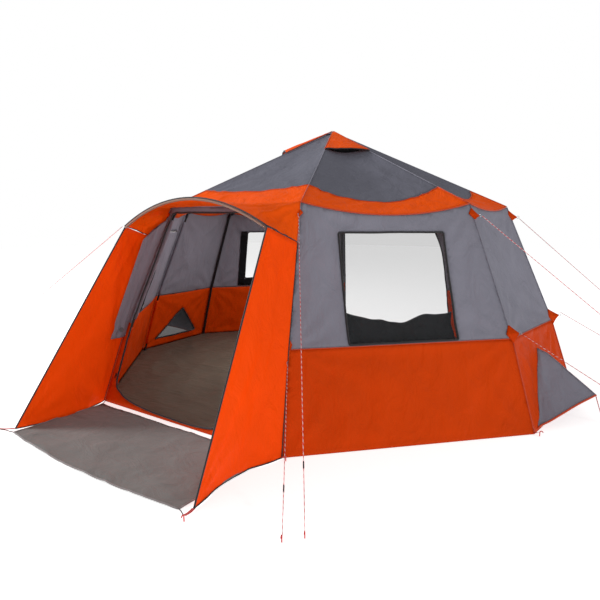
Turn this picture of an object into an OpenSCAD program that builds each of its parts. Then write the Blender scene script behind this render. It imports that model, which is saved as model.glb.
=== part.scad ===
// Pop up family tent: a folding umbrella frame inside an eight sided cloth shell,
// with a porch at the front. Origin on the ground under the hub, door towards -Y.

/* [Tent] */
// Height of the peak above the ground
peak_h = 2200; // [2100:10:2400]
// Height of the eave, where the roof meets the walls
eave_h = 1497; // [1450:1:1550]
// Height of the seam between the lower and the upper wall
seam_h = 600; // [560:1:640]
// Distance of a corner from the tent's axis at the ground
base_r = 2114; // [2080:1:2150]
// Distance of a corner from the tent's axis at the wall seam
seam_r = 1916; // [1900:1:1930]
// Distance of a corner from the tent's axis at the eave
eave_r = 1531; // [1510:1:1560]

/* [Corners] */
// Angle of the front corners, from the front
front_angle = 24; // [22:0.5:26]
// Angle of the corners between the big window and the low vent
side_angle = 70.5; // [68:0.5:72]
// Angle of the corners behind the low vent
vent_angle = 98; // [96:0.5:104]
// Angle of the rear corners
rear_angle = 153; // [150:0.5:156]

/* [Cloth] */
// Thickness of the cloth solids
cloth_t = 3; // [2:0.5:4]
// Width of the grey crown's border band, up the slope of the roof
band_w = 300; // [240:5:360]

/* [Windows and door] */
// Width of a front window
window_w = 740; // [600:10:800]
// Height of a front window, up the slope of the wall
window_h = 740; // [600:10:760]
// Width of a rear window
rear_window_w = 940; // [800:10:1000]
// Height of a rear window, up the slope of the wall
rear_window_h = 600; // [500:10:640]
// How far the doorway's straight edge is from its middle plane at the ground
door_left = 795; // [760:5:800]
// How far the straight edge is from the middle plane at the top
door_left_top = 590; // [560:5:600]
// How far the doorway's other edge is from the middle plane
door_right = 540; // [450:5:600]
// Height of the cloth sill under the door
sill_h = 30; // [20:5:60]

/* [Porch] */
// Half the width of the porch arch between its ends
arch_half_w = 660; // [600:10:700]
// Distance of the arch in front of the hub
arch_y = 1810; // [1780:5:1850]
// Height of the arch's ends
arch_end_h = 1330; // [1280:5:1350]
// Height of the arch's crown
arch_crown_h = 1515; // [1490:5:1530]
// Distance of the porch pegs in front of the hub
porch_y = 2640; // [2560:10:2700]

/* [Frame] */
// Radius of the poles
pole_rad = 9; // [7:0.5:10]
// Distance of the roof pole hinges from the hub's axis
hub_pivot_r = 130; // [125:1:140]
// Height of the roof pole hinges
hub_pivot_h = 2100; // [2090:1:2105]
// Distance of the elbow hinges from the tent's axis
elbow_r = 1498; // [1490:1:1502]
// Height of the elbow hinges
elbow_h = 1474; // [1468:1:1478]

/* [Guy lines] */
// Thickness of a guy line
guy_d = 4; // [3:0.5:5]

/* [Hidden] */
$fn = 48;

orange = "#F2560F";
dark_orange = "#C83F06";
grey = "#77757C";
roof_grey = "#6B6E77";
mesh_grey = "#9A9DA3";
black = "#1C1C1E";
floor_grey = "#5D5049";
red = "#C5202A";
steel = "#B8BBC0";

// Corners, counterclockwise from the right front one
CORNERS = [front_angle, side_angle, vent_angle, rear_angle,
    -rear_angle, -vent_angle, -side_angle, -front_angle];
N = len(CORNERS);
seam_gap = 3;
eye_w = 18;
pin_rad = 4;
pin_slip = 0.05;
side_offset = 11;
foot_clear = 0.4;

// Where a guy line starts, at its tab, and where its peg holds it
GUYS = [
    [[666, -1488, 1410], [1404, -2480, 12]],
    [[800, -1790, 530], [1340, -2560, 12]],
    [[1545, -548, 1410], [3440, -1220, 12]],
    [[1870, -662, 642], [3390, -1330, 12]],
    [[1618, 228, 1400], [3150, 450, 12]],
    [[1955, 272, 668], [3080, 560, 12]],
    [[-684, -1822, 1338], [-2610, -2370, 12]],
    [[-800, -1790, 530], [-2480, -2200, 12]]];
// How far up each guy line its runner sits, from the peg
RUNNER_AT = [300, 240, 520, 900, 520, 420, 400, 360];
runner_len = 34;

function dir(a) = [sin(a), -cos(a), 0];
function at(a, r, h) = [r*sin(a), -r*cos(a), h];
function unit(v) = v/norm(v);
function mix(a, b, t) = a + (b - a)*t;
function corner(i) = CORNERS[(i + N) % N];
function base_pt(i) = at(corner(i), base_r, 0);
function seam_pt(i) = at(corner(i), seam_r, seam_h);
function eave_pt(i) = at(corner(i), eave_r, eave_h);
peak_pt = [0, 0, peak_h];

// Stands a flat outline on the plane through a and b, with d above a, and gives
// it the cloth's thickness inwards. x runs from the middle of ab, y up the slope.
module on_plane(a, b, d, t = cloth_t) {
    x = unit(b - a);
    n = unit(cross(b - a, d - a));
    y = cross(n, x);
    o = (a + b)/2;
    multmatrix([[x[0], y[0], n[0], o[0]], [x[1], y[1], n[1], o[1]], [x[2], y[2], n[2], o[2]], [0, 0, 0, 1]])
        translate([0, 0, -t]) linear_extrude(t) children();
}

// Outline of a facet whose lower edge is w0 wide and whose upper edge is w1, h up
module facet_shape(w0, w1, h) {
    s = seam_gap;
    polygon([[-w0/2 + s, s/2], [w0/2 - s, s/2], [w1/2 - s, h - s/2], [-w1/2 + s, h - s/2]]);
}

function facet_h(a, b, c, d) = norm((c + d)/2 - (a + b)/2);

module facet(a, b, c, d) {
    on_plane(a, b, d) difference() {
        facet_shape(norm(b - a), norm(c - d), facet_h(a, b, c, d));
        children();
    }
}

// A closed sheet through rows of points, t thick along the vector t
module skin(rows, t) {
    m = len(rows);
    k = len(rows[0]);
    flat = [for (r = rows) for (p = r) p];
    pts = concat(flat, [for (p = flat) p + t]);
    q = m*k;
    top = [for (i = [0:m-2]) for (j = [0:k-2]) each
        [[i*k+j, i*k+j+1, (i+1)*k+j+1], [i*k+j, (i+1)*k+j+1, (i+1)*k+j]]];
    rim = concat([for (j = [0:k-1]) j], [for (i = [1:m-1]) i*k+k-1],
        [for (j = [k-2:-1:0]) (m-1)*k+j], [for (i = [m-2:-1:1]) i*k]);
    r = len(rim);
    sides = [for (s = [0:r-1]) each
        [[rim[s], rim[s]+q, rim[(s+1)%r]+q], [rim[s], rim[(s+1)%r]+q, rim[(s+1)%r]]]];
    bottom = [for (f = top) [f[2]+q, f[1]+q, f[0]+q]];
    polyhedron(pts, concat(top, sides, bottom), convexity = 6);
}

// Cylinder of radius r from a to b, or with a wall, a tube
module rod(a, b, r, wall = 0) {
    v = b - a;
    l = norm(v);
    translate(a) rotate([0, acos(v[2]/l), atan2(v[1], v[0])]) difference() {
        cylinder(r = r, h = l);
        if (wall > 0) translate([0, 0, 2]) cylinder(r = r - wall, h = l - 4);
    }
}

// Frame of a corner's own plane: x outwards, y along the hinge axes, z up
module corner_frame(a) {
    rotate([0, 0, a - 90]) children();
}

module groundsheet() {
    color(floor_grey) linear_extrude(2)
        polygon([for (a = CORNERS) 2104*[sin(a), -cos(a)]]);
}

module lower_walls() {
    color(orange) for (i = [0:N-2])
        facet(base_pt(i) + [0, 0, 2], base_pt(i+1) + [0, 0, 2], seam_pt(i+1), seam_pt(i))
            if (i == 1 || i == 5) low_vent_shape();
            else if (i == 3) rear_low();
}

module low_vent_shape() {
    translate([0, 100]) polygon([[-390, 0], [390, 0], [0, 360]]);
}

// Outline of the window in facet i: the front ones stand on the wall's seam
module window_shape(i) {
    if (i == 2 || i == 4) translate([-rear_window_w/2, 125]) square([rear_window_w, rear_window_h]);
    else translate([-window_w/2, 12]) square([window_w, window_h]);
}

module upper_walls() {
    color(grey) for (i = [0:N-2])
        facet(seam_pt(i), seam_pt(i+1), eave_pt(i+1), eave_pt(i))
            if (i == 3) rear_up();
            else if (i != 1 && i != 5) window_shape(i);
}

// The doorway's outline in an end wall's lower and upper planes
door_left_mid = mix(door_left, door_left_top, 0.42);
module door_low() {
    polygon([[-door_left + 240, sill_h], [door_right - 250, sill_h], [door_right - 90, sill_h + 60],
        [door_right, sill_h + 220], [door_right, 700], [-door_left_mid, 700],
        [-door_left + 20, sill_h + 140], [-door_left + 80, sill_h + 60]]);
}

module door_up() {
    polygon([[-door_left_mid, -10], [door_right, -10], [door_right, 500], [door_right - 90, 800],
        [door_right - 200, 900], [-door_left_top, 900]]);
}

// The rear door's outline, which reaches almost to the corner on its straight side
module rear_low() {
    polygon([[-door_right + 250, sill_h], [830, sill_h], [890, sill_h + 50], [907, sill_h + 120],
        [830, 700], [-door_right, 700], [-door_right, sill_h + 220], [-door_right + 90, sill_h + 60]]);
}

module rear_up() {
    polygon([[-door_right, -10], [840, -10], [676, 900], [-door_right + 200, 900],
        [-door_right + 90, 800], [-door_right, 500]]);
}

module front_wall() {
    i = N - 1;
    color(orange)
        facet(base_pt(i) + [0, 0, 2], base_pt(0) + [0, 0, 2], seam_pt(0), seam_pt(i)) door_low();
    color(grey)
        facet(seam_pt(i), seam_pt(0), eave_pt(0), eave_pt(i)) door_up();
}

// The roof's slope on each facet is cut into the orange band and the grey crown
function slope_pt(i, w) = mix(eave_pt(i), peak_pt, w/norm(peak_pt - eave_pt(i)));

module roof_band() {
    color(orange) for (i = [0:N-1])
        facet(eave_pt(i), eave_pt(i+1), slope_pt(i+1, band_w), slope_pt(i, band_w));
}

module roof_crown() {
    top = 1655;
    color(roof_grey) for (i = [0:N-1])
        facet(slope_pt(i, band_w), slope_pt(i+1, band_w), slope_pt(i+1, top), slope_pt(i, top));
}

// A triangular hood raised over the peak's vent on two facets
module peak_vent_hoods() {
    lift = 40;
    color(orange) for (i = [0, N-2]) {
        a = slope_pt(i, 1170);
        b = slope_pt(i+1, 1170);
        rows = [for (s = [0:4]) [for (u = [0:6]) let (
            e = mix(a, b, u/6), p = mix(peak_pt, e, (s + 0.6)/4.6))
            p + [0, 0, 14 + lift*sin(180*u/6)*s/4]]];
        skin(rows, [0, 0, -cloth_t]);
    }
}

module big_windows() {
    color(mesh_grey) for (i = [0, 2, 4, 6])
        on_plane(seam_pt(i), seam_pt(i+1), eave_pt(i), 1.5) offset(delta = -0.5) window_shape(i);
}

// Mesh door in the rear wall, in two flat halves that meet at the wall's seam
module rear_door_mesh() {
    color(mesh_grey) {
        on_plane(base_pt(3) + [0, 0, 2], base_pt(4) + [0, 0, 2], seam_pt(3), 1.5)
            intersection() {
                offset(delta = -0.5) rear_low();
                translate([-1000, 0]) square([2000, facet_h(base_pt(3), base_pt(4), seam_pt(4), seam_pt(3)) - 4]);
            }
        on_plane(seam_pt(3), seam_pt(4), eave_pt(3), 1.5)
            intersection() {
                offset(delta = -0.5) rear_up();
                translate([-1000, 2]) square([2000, 1000]);
            }
    }
}

// The right front window's blind is let down and gathered along its lower edge,
// and the left one's is zipped shut
module window_curtains() {
    back = -8*unit([(seam_pt(6) + seam_pt(7))[0], (seam_pt(6) + seam_pt(7))[1], 0]);
    color(grey) on_plane(seam_pt(6) + back, seam_pt(7) + back, eave_pt(6) + back, 1.5)
        translate([-window_w/2 + 6, 18]) square([window_w - 12, window_h - 12]);
    color(black) for (i = [0]) {
        x = unit(seam_pt(i+1) - seam_pt(i));
        o = (seam_pt(i) + seam_pt(i+1))/2;
        in = -unit([o[0], o[1], 0]);
        rows = [for (s = [0:3]) [for (u = [0:8]) let (
            w = (u/8 - 0.5)*(window_w - 20),
            drop = 150 + 40*pow(2*u/8 - 1, 2))
            o + x*w + in*(13 + drop*0.43*s/3 + 26*sin(60*s)) + [0, 0, 10 + drop*s/3]]];
        skin(rows, -in*cloth_t);
    }
}

module low_vent_hoods() {
    color(grey) for (i = [1, 5]) {
        a = base_pt(i);
        b = base_pt(i+1);
        n = unit([(a + b)[0], (a + b)[1], 0]);
        apex = mix((a + b)/2, (seam_pt(i) + seam_pt(i+1))/2, 0.78) + n*12;
        tip = (a + b)/2 + n*240 + [0, 0, 190];
        foot_a = mix(a, b, 0.08) + n*12 + [0, 0, 22];
        foot_b = mix(a, b, 0.92) + n*12 + [0, 0, 22];
        rows = [for (s = [0:5]) let (t = 0.03 + 0.97*s/5) [for (u = [0:8]) let (
            v = u/8,
            rim = mix(mix(foot_a, tip, min(1, 2*v)), foot_b, max(0, 2*v - 1)))
            mix(apex, rim, t)]];
        skin(rows, -n*cloth_t);
    }
}

module low_vent_meshes() {
    color(mesh_grey) for (i = [1, 5])
        on_plane(base_pt(i) + [0, 0, 2], base_pt(i+1) + [0, 0, 2], seam_pt(i), 1.5)
            offset(delta = -0.5) low_vent_shape();
}

// The door, folded and tied back outside along its straight edge
module door_flap() {
    rows = [for (t = [0:8]) [for (j = [0:4]) let (
        h = mix(1400 - 160*j/4, 500, t/8), r = corner_r(h), w = mix(165, 125, t/8))
        [-r*sin(front_angle) + 26, -r*cos(front_angle) - 14 - w*j/4, h]]];
    color(grey) skin(rows, [16, 0, 0]);
}

function arch_pt(u, out = 0) = let (x = u*(arch_half_w + out))
    [x, -arch_y, arch_crown_h + out - (arch_crown_h - arch_end_h)*u*u];

module porch_awning() {
    k = 16;
    color(orange) {
        rows = [for (s = [0:4]) [for (j = [0:k]) let (
            u = 2*j/k - 1,
            e = mix(eave_pt(N-1), eave_pt(0), j/k) + [0, -6, 4],
            f = arch_pt(u, 16))
            mix(e, f, s/4)]];
        skin(rows, [0, 0, cloth_t]);
    }
}

// A side wall of the porch, from the corner to its own peg. s is its side.
module porch_wing(s) {
    a = N - 1;
    inset = 20;
    rear = [for (t = [0:5]) let (h = mix(1235, 6, t/5),
        r = h > seam_h ? mix(seam_r, eave_r, (h - seam_h)/(eave_h - seam_h)) : mix(base_r, seam_r, h/seam_h))
        [s*(r + inset)*sin(front_angle), -(r + inset)*cos(front_angle), h]];
    front = [for (t = [0:5]) let (v = t/5)
        [s*mix(arch_half_w + 14, 850, v), -mix(arch_y, porch_y - 30, v), mix(1318, 6, v)]];
    rows = [for (t = [0:5]) [for (j = [0:5]) mix(rear[t], front[t], j/5)]];
    color(orange) skin(rows, [s*cloth_t, 0, 0]);
}

module porch_wing_left() { porch_wing(-1); }
module porch_wing_right() { porch_wing(1); }

// Flexible rod sewn into the awning's front edge
module porch_arch_pole() {
    k = 20;
    rad = 5;
    ring = 8;
    pts = [for (j = [0:k]) arch_pt(2*j/k - 1)];
    rows = [for (j = [0:k]) let (
        t = unit(pts[min(k, j+1)] - pts[max(0, j-1)]), n = cross(t, [0, 1, 0]))
        [for (q = [0:ring-1]) pts[j] + rad*(cos(360*q/ring)*n + sin(360*q/ring)*[0, 1, 0])]];
    color(black) tube(rows);
}

// A closed tube through rings of points
module tube(rings) {
    m = len(rings);
    k = len(rings[0]);
    pts = [for (r = rings) for (p = r) p];
    wall = [for (i = [0:m-2]) for (j = [0:k-1]) let (a = i*k+j, b = i*k+(j+1)%k) each
        [[a, b, b+k], [a, b+k, a+k]]];
    polyhedron(pts, concat(wall, [[for (j = [k-1:-1:0]) j]], [[for (j = [0:k-1]) (m-1)*k+j]]),
        convexity = 6);
}

module porch_mat() {
    color(grey) linear_extrude(2)
        polygon(concat([[-790, -1995], [790, -1995]],
            [for (u = [1:-0.125:-1]) [795*u, -porch_y - 10 - 55*(1 - u*u)]]));
}

function corner_r(h) = h > seam_h
    ? mix(seam_r, eave_r, (h - seam_h)/(eave_h - seam_h))
    : mix(base_r, seam_r, h/seam_h);

// A triangle of webbing in the corner's own plane, which ends at tip
module guy_tab(a, h0, h1, tip_r, tip_h) {
    out = 4;
    corner_frame(a) rotate([90, 0, 0]) translate([0, 0, -1.5]) linear_extrude(3)
        polygon([[corner_r(h0) + out, h0], [tip_r, tip_h], [corner_r(h1) + out, h1]]);
}

module guy_tabs() {
    color(dark_orange) for (a = CORNERS) {
        low_tip = abs(a) == front_angle ? 530 : 645;
        guy_tab(a, 1470, 1385, 1618, 1412);
        guy_tab(a, 690, 570, abs(a) == front_angle ? 1952 : 1966, low_tip);
    }
}

module peg(p, a) {
    translate(p) rotate([0, 0, a]) {
        cylinder(r = 3.5, h = 34);
        translate([-12, 0, 34]) rotate([0, 90, 0]) cylinder(r = 3.5, h = 24);
    }
}

module pegs() {
    color(red) {
        for (i = [1:N-2]) peg(at(CORNERS[i], base_r + 34, 0), CORNERS[i]);
        for (s = [-1, 1]) peg([s*900, -1945, 0], 0);
        for (s = [-1, 1]) peg([s*884, -porch_y - 62, 0], 90);
        for (g = GUYS) peg([g[1][0], g[1][1], 0] + 9*unit([g[1][0], g[1][1], 0]), 0);
        for (s = [-1, 1]) peg([s*2330, -210, 0], 0);
    }
}

// Pull tab of the door's zip, parked at the foot of the left edge
module door_zip_slider() {
    color(black) translate([-784, -1868.6, 210]) rotate([-16.82, 0, 0]) {
        translate([-4.5, -6.4, -10]) cube([9, 6, 20]);
        translate([-3, -8.4, -30]) cube([6, 2.5, 26]);
    }
}

// A lug and pin for each roof pole, round a ring
module hub() {
    color(black) {
        translate([0, 0, hub_pivot_h - 16]) cylinder(r = 104, h = 30);
        for (a = CORNERS) corner_frame(a) {
            translate([90, -side_offset - eye_w/2 - 9, hub_pivot_h - 12]) cube([52, 8, 22]);
            translate([hub_pivot_r, -side_offset - eye_w/2 - 5, hub_pivot_h]) rotate([-90, 0, 0])
                cylinder(r = pin_rad, h = eye_w + 6);
        }
    }
}

module hub_cap() {
    color(grey) translate([0, 0, hub_pivot_h + 14]) rotate_extrude()
        polygon([[0, 0], [70, 0], [60, 12], [30, 20], [0, 22]]);
}

module hub_pull() {
    color(red) translate([0, 0, hub_pivot_h - 16]) {
        translate([0, 0, -30]) cylinder(r = 10, h = 30);
        translate([0, 0, -44]) rotate_extrude() translate([26, 0]) circle(r = 6);
        translate([-26, 0, -44]) rotate([0, 90, 0]) cylinder(r = 5, h = 52);
        translate([0, 0, -44]) cylinder(r = 10, h = 15);
    }
}

// A pole from its hinge eye on the hub to the elbow, with the elbow's pin
module roof_pole(i) {
    a = CORNERS[i-1];
    p = [hub_pivot_r, 0, hub_pivot_h];
    e = [elbow_r, 0, elbow_h];
    l = norm(e - p);
    slope = acos((e - p)[0]/l);
    y0 = -side_offset;
    corner_frame(a) {
        color(steel) translate([0, y0, 0]) rod(mix(p, e, 20/l), mix(p, e, 1 - 24/l), pole_rad, 1);
        color(black) difference() {
            translate(p) rotate([0, slope, 0]) translate([-12, y0 - eye_w/2, -10]) cube([50, eye_w, 20]);
            translate(p + [0, y0 + eye_w, 0]) rotate([90, 0, 0])
                cylinder(r = pin_rad + pin_slip, h = 2*eye_w);
        }
        color(black) translate(e) rotate([0, slope, 0]) translate([-44, y0 - eye_w/2, -11])
            cube([58, eye_w, 22]);
        color(black) translate(e + [0, y0, 0]) rotate([-90, 0, 0])
            cylinder(r = pin_rad, h = 2*side_offset + eye_w/2 + 2);
    }
}

// A leg from its elbow eye down to the foot, bent at the wall's seam
module leg(i) {
    a = CORNERS[i-1];
    e = [elbow_r, 0, elbow_h];
    k = [seam_r - 36, 0, seam_h - 10];
    f = [base_r - 46, 0, 2 + foot_clear];
    l = norm(k - e);
    tilt = acos((e - k)[2]/l);
    y0 = side_offset;
    corner_frame(a) {
        color(steel) translate([0, y0, 0]) {
            rod(mix(e, k, 20/l), k, pole_rad, 1);
            rod(k, mix(k, f, 1 - 30/norm(f - k)), pole_rad, 1);
        }
        color(black) translate([0, y0, 0]) translate(k) sphere(r = pole_rad + 1.5);
        color(black) difference() {
            translate(e + [0, y0, 0]) rotate([0, -tilt, 0]) translate([-11, -eye_w/2, -50])
                cube([22, eye_w, 62]);
            translate(e + [0, y0 - eye_w, 0]) rotate([-90, 0, 0])
                cylinder(r = pin_rad + pin_slip, h = 2*eye_w);
        }
        color(black) translate(f + [-4, y0, 0]) cylinder(r1 = 15, r2 = 12, h = 36);
    }
}

// A taut line between two points, sagging a little in its middle
function guy_pt(a, b, t) = mix(a, b, t) - [0, 0, 4*t*(1 - t)*norm(b - a)*0.002];

module guy(i) {
    a = GUYS[i-1][0];
    b = GUYS[i-1][1];
    k = 24;
    ring = 8;
    pts = [for (j = [0:k]) guy_pt(a, b, j/k)];
    side = unit(cross(b - a, [0, 0, 1]));
    rows = [for (j = [0:k]) let (
        t = unit(pts[min(k, j+1)] - pts[max(0, j-1)]), n = cross(side, t))
        [for (q = [0:ring-1]) pts[j] + guy_d/2*(cos(360*q/ring)*side + sin(360*q/ring)*n)]];
    color(red) tube(rows);
}

// Line tensioner, a short bar that the guy line passes through
module runner(i) {
    a = GUYS[i-1][0];
    b = GUYS[i-1][1];
    l = norm(b - a);
    t = 1 - RUNNER_AT[i-1]/l;
    p = guy_pt(a, b, t);
    v = unit(guy_pt(a, b, t - 0.01) - guy_pt(a, b, t + 0.01));
    color(black) translate(p) rotate([0, acos(v[2]), atan2(v[1], v[0])]) difference() {
        translate([-6, -9, -runner_len/2]) cube([12, 18, runner_len]);
        translate([0, 0, -runner_len]) cylinder(r = guy_d/2 + 1.5, h = 2*runner_len);
    }
}

groundsheet();
lower_walls();
upper_walls();
front_wall();
roof_crown();
roof_band();
peak_vent_hoods();
big_windows();
rear_door_mesh();
window_curtains();
low_vent_hoods();
low_vent_meshes();
door_flap();
porch_awning();
porch_wing_left();
porch_wing_right();
porch_arch_pole();
porch_mat();
guy_tabs();
pegs();
door_zip_slider();
hub();
hub_cap();
hub_pull();
roof_pole(1);  // roof_pole_1
roof_pole(2);  // roof_pole_2
roof_pole(3);  // roof_pole_3
roof_pole(4);  // roof_pole_4
roof_pole(5);  // roof_pole_5
roof_pole(6);  // roof_pole_6
roof_pole(7);  // roof_pole_7
roof_pole(8);  // roof_pole_8
leg(1);  // leg_1
leg(2);  // leg_2
leg(3);  // leg_3
leg(4);  // leg_4
leg(5);  // leg_5
leg(6);  // leg_6
leg(7);  // leg_7
leg(8);  // leg_8
guy(1);  // guy_1
guy(2);  // guy_2
guy(3);  // guy_3
guy(4);  // guy_4
guy(5);  // guy_5
guy(6);  // guy_6
guy(7);  // guy_7
guy(8);  // guy_8
runner(1);  // runner_1
runner(2);  // runner_2
runner(3);  // runner_3
runner(4);  // runner_4
runner(5);  // runner_5
runner(6);  // runner_6
runner(7);  // runner_7
runner(8);  // runner_8
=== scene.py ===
import bpy
import numpy as np
from math import sin, cos, pi, radians, exp, sqrt
from mathutils import Vector, Matrix, noise
from mathutils.geometry import delaunay_2d_cdt


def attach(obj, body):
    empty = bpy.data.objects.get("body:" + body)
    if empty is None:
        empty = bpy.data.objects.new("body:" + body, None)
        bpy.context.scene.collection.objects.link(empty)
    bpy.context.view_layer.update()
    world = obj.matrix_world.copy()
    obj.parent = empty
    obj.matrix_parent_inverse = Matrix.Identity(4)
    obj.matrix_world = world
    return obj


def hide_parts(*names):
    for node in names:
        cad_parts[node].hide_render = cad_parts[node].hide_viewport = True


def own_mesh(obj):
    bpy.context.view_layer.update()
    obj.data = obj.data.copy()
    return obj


# Family tent with a porch: cloth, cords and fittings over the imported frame
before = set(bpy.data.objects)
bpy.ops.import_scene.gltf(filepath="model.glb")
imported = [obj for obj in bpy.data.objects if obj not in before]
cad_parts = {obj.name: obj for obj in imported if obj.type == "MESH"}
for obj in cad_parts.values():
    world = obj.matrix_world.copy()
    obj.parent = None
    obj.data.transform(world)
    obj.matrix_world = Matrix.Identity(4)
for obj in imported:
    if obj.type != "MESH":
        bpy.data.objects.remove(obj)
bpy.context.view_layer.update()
bpy.ops.object.select_all(action="DESELECT")
print("stage: packed frame loaded")


# camera
camera = {"place": (2.572, -4.174, 1.336), "tilt": 81.86, "turn": 35.19, "lens": 30.69}


def setCamera():
    bpy.ops.object.camera_add(location=camera["place"],
                              rotation=(radians(camera["tilt"]), 0, radians(camera["turn"])))
    eye = bpy.context.object
    eye.name = "viewCamera"
    eye.data.sensor_width = 36
    eye.data.lens = camera["lens"]
    eye.data.clip_end = 300
    bpy.context.scene.camera = eye


setCamera()


# small tools
def only(piece):
    bpy.ops.object.select_all(action="DESELECT")
    piece.select_set(True)
    bpy.context.view_layer.objects.active = piece


def smooth(t):
    t = max(0.0, min(1.0, t))
    return t * t * (3 - 2 * t)


def mix(a, b, t):
    return a + (b - a) * t


def wave(x, y, z=0.0):  # slow, repeatable noise from -1 to 1
    return noise.noise(Vector((x, y, z)))


def crumple(x, y, z):  # sharp creases between softer faces, from 0 to 1
    bend = 0.35 * wave(x * 2.1, y * 1.7, z + 4.2)
    first = 1 - abs(wave(x * 3.4 + bend, y * 2.2 - bend, z)) * 2.4
    second = 1 - abs(wave(x * 6.1 - y * 2.0, y * 4.9 + bend, z + 8.5)) * 2.4
    return max(0.0, first) ** 2 * 0.65 + max(0.0, second) ** 2 * 0.35


def applyModifiers(piece):
    only(piece)
    for m in list(piece.modifiers):
        bpy.ops.object.modifier_apply(modifier=m.name)


def joined(pieces, name):
    bpy.ops.object.select_all(action="DESELECT")
    for p in pieces:
        p.select_set(True)
    bpy.context.view_layer.objects.active = pieces[0]
    if len(pieces) > 1:
        bpy.ops.object.join()
    piece = bpy.context.object
    piece.name = name
    piece.data.name = name
    bpy.ops.object.transform_apply(location=True, rotation=True, scale=True)
    return piece


def copied(piece, place):  # a copy with its own mesh, moved by a matrix
    twin = piece.copy()
    twin.data = piece.data.copy()
    bpy.context.collection.objects.link(twin)
    twin.data.transform(place)
    return twin


def pointAlong(z, place):  # a matrix that stands +Z along z, at place
    return Matrix.Translation(place) @ Vector(z).to_track_quat("Z", "Y").to_matrix().to_4x4()


# the tent's shell, from the frame's own corners
shell = {
    "peak": 2.2, "eave": 1.497, "seam": 0.6,
    "baseR": 2.114, "seamR": 1.916, "eaveR": 1.531,
    "corners": (24, 70.5, 98, 153, -153, -98, -70.5, -24),
    "eaveSag": (0.088, 0.045, 0.075, 0.05, 0.075, 0.045, 0.088, 0.012),
    "bandSide": 0.188, "bandMiddle": (0.128, 0.135, 0.13, 0.14, 0.13, 0.135, 0.128, 0.172),
    "gap": 0.03,
}


def cornerAt(i, r, z):
    a = radians(shell["corners"][i % 8])
    return Vector((r * sin(a), -r * cos(a), z))


def basePt(i): return cornerAt(i, shell["baseR"], 0.002)
def seamPt(i): return cornerAt(i, shell["seamR"], shell["seam"])
def eavePt(i): return cornerAt(i, shell["eaveR"], shell["eave"])


def cornerLine(i, z):  # the standing seam over a leg
    if z < shell["seam"]:
        return cornerAt(i, mix(shell["baseR"], shell["seamR"], z / shell["seam"]), z)
    t = (z - shell["seam"]) / (shell["eave"] - shell["seam"])
    return cornerAt(i, mix(shell["seamR"], shell["eaveR"], t), z)


peakPt = Vector((0, 0, shell["peak"]))


def facetPlan(i):
    a0, b0, a1, b1, a2, b2 = basePt(i), basePt(i + 1), seamPt(i), seamPt(i + 1), eavePt(i), eavePt(i + 1)
    x = (b0 - a0).normalized()
    low = ((a1 + b1) - (a0 + b0)) / 2
    up = ((a2 + b2) - (a1 + b1)) / 2
    return {"i": i % 8, "x": x, "foot": (a0 + b0) / 2, "seamMid": (a1 + b1) / 2,
            "low": low.normalized(), "up": up.normalized(),
            "outLow": x.cross(low).normalized(), "outUp": x.cross(up).normalized(),
            "h1": low.length, "h2": up.length,
            "w0": (b0 - a0).length, "w1": (b1 - a1).length, "w2": (b2 - a2).length,
            "sag": shell["eaveSag"][i % 8]}


plans = [facetPlan(i) for i in range(8)]


def halfWidth(p, s):
    if s < p["h1"]:
        return mix(p["w0"], p["w1"], s / p["h1"]) / 2
    return mix(p["w1"], p["w2"], (s - p["h1"]) / p["h2"]) / 2


def clothLift(p, x, s):  # how far the cloth stands off its flat plane
    half = max(0.05, halfWidth(p, s))
    u = min(1, max(0, 0.5 + x / (2 * half)))
    top = p["h1"] + p["h2"] - p["sag"] * 4 * u * (1 - u)
    fade = smooth(min(u, 1 - u) * 2 * half / 0.13) * smooth(s / 0.09) * smooth((top - s) / 0.10)
    k = p["i"]
    bow = -0.022 * sin(pi * u) * sin(pi * min(1, s / top))
    soft = 0.012 * wave(x * 1.6 + 9.1 * k, s * 1.2, 3.1) + crumple(x, s, k) * 0.006
    hang = 0.0045 * sin(24 * x + 5 * wave(x * 2 + k, s * 1.4, 7.7)) * (0.5 + wave(x * 1.3, s * 0.8 + k, 1.9))
    pull = 0.0
    for cx, cs, turns in (
            (-p["w1"] / 2, p["h1"], 13), (p["w1"] / 2, p["h1"], 13),
            (-p["w2"] / 2, p["h1"] + p["h2"], 15), (p["w2"] / 2, p["h1"] + p["h2"], 15),
            (-p["w0"] / 2, 0, 11), (p["w0"] / 2, 0, 11)):
        dx, ds = x - cx, s - cs
        r = sqrt(dx * dx + ds * ds)
        if r < 1.3:
            a = np.arctan2(ds, dx)
            ray = sin(turns * a + 1.7 * k + 2 * wave(r * 3, a, k))
            pull += 0.009 * exp(-r / 0.36) * smooth(r / 0.10) * ray
    seamEase = 0.35 + 0.65 * smooth(abs(s - p["h1"]) / 0.07)
    return fade * seamEase * (bow + soft + hang + pull)


def onFacet(p, x, s, off=0.0):  # a point of the wall, x across and s up the slope
    lift = clothLift(p, x, s) + off
    t = smooth((s - p["h1"] + 0.04) / 0.08)
    out = (p["outLow"] * (1 - t) + p["outUp"] * t).normalized()
    if s <= p["h1"]:
        return p["foot"] + p["x"] * x + p["low"] * s + out * lift
    return p["seamMid"] + p["x"] * x + p["up"] * (s - p["h1"]) + out * lift


def eaveCurve(i, u):
    p = plans[i % 8]
    return eavePt(i).lerp(eavePt(i + 1), u) - p["up"] * p["sag"] * 4 * u * (1 - u)


roof = {"sag": 0.022, "crease": 0.004, "across": 34}


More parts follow.
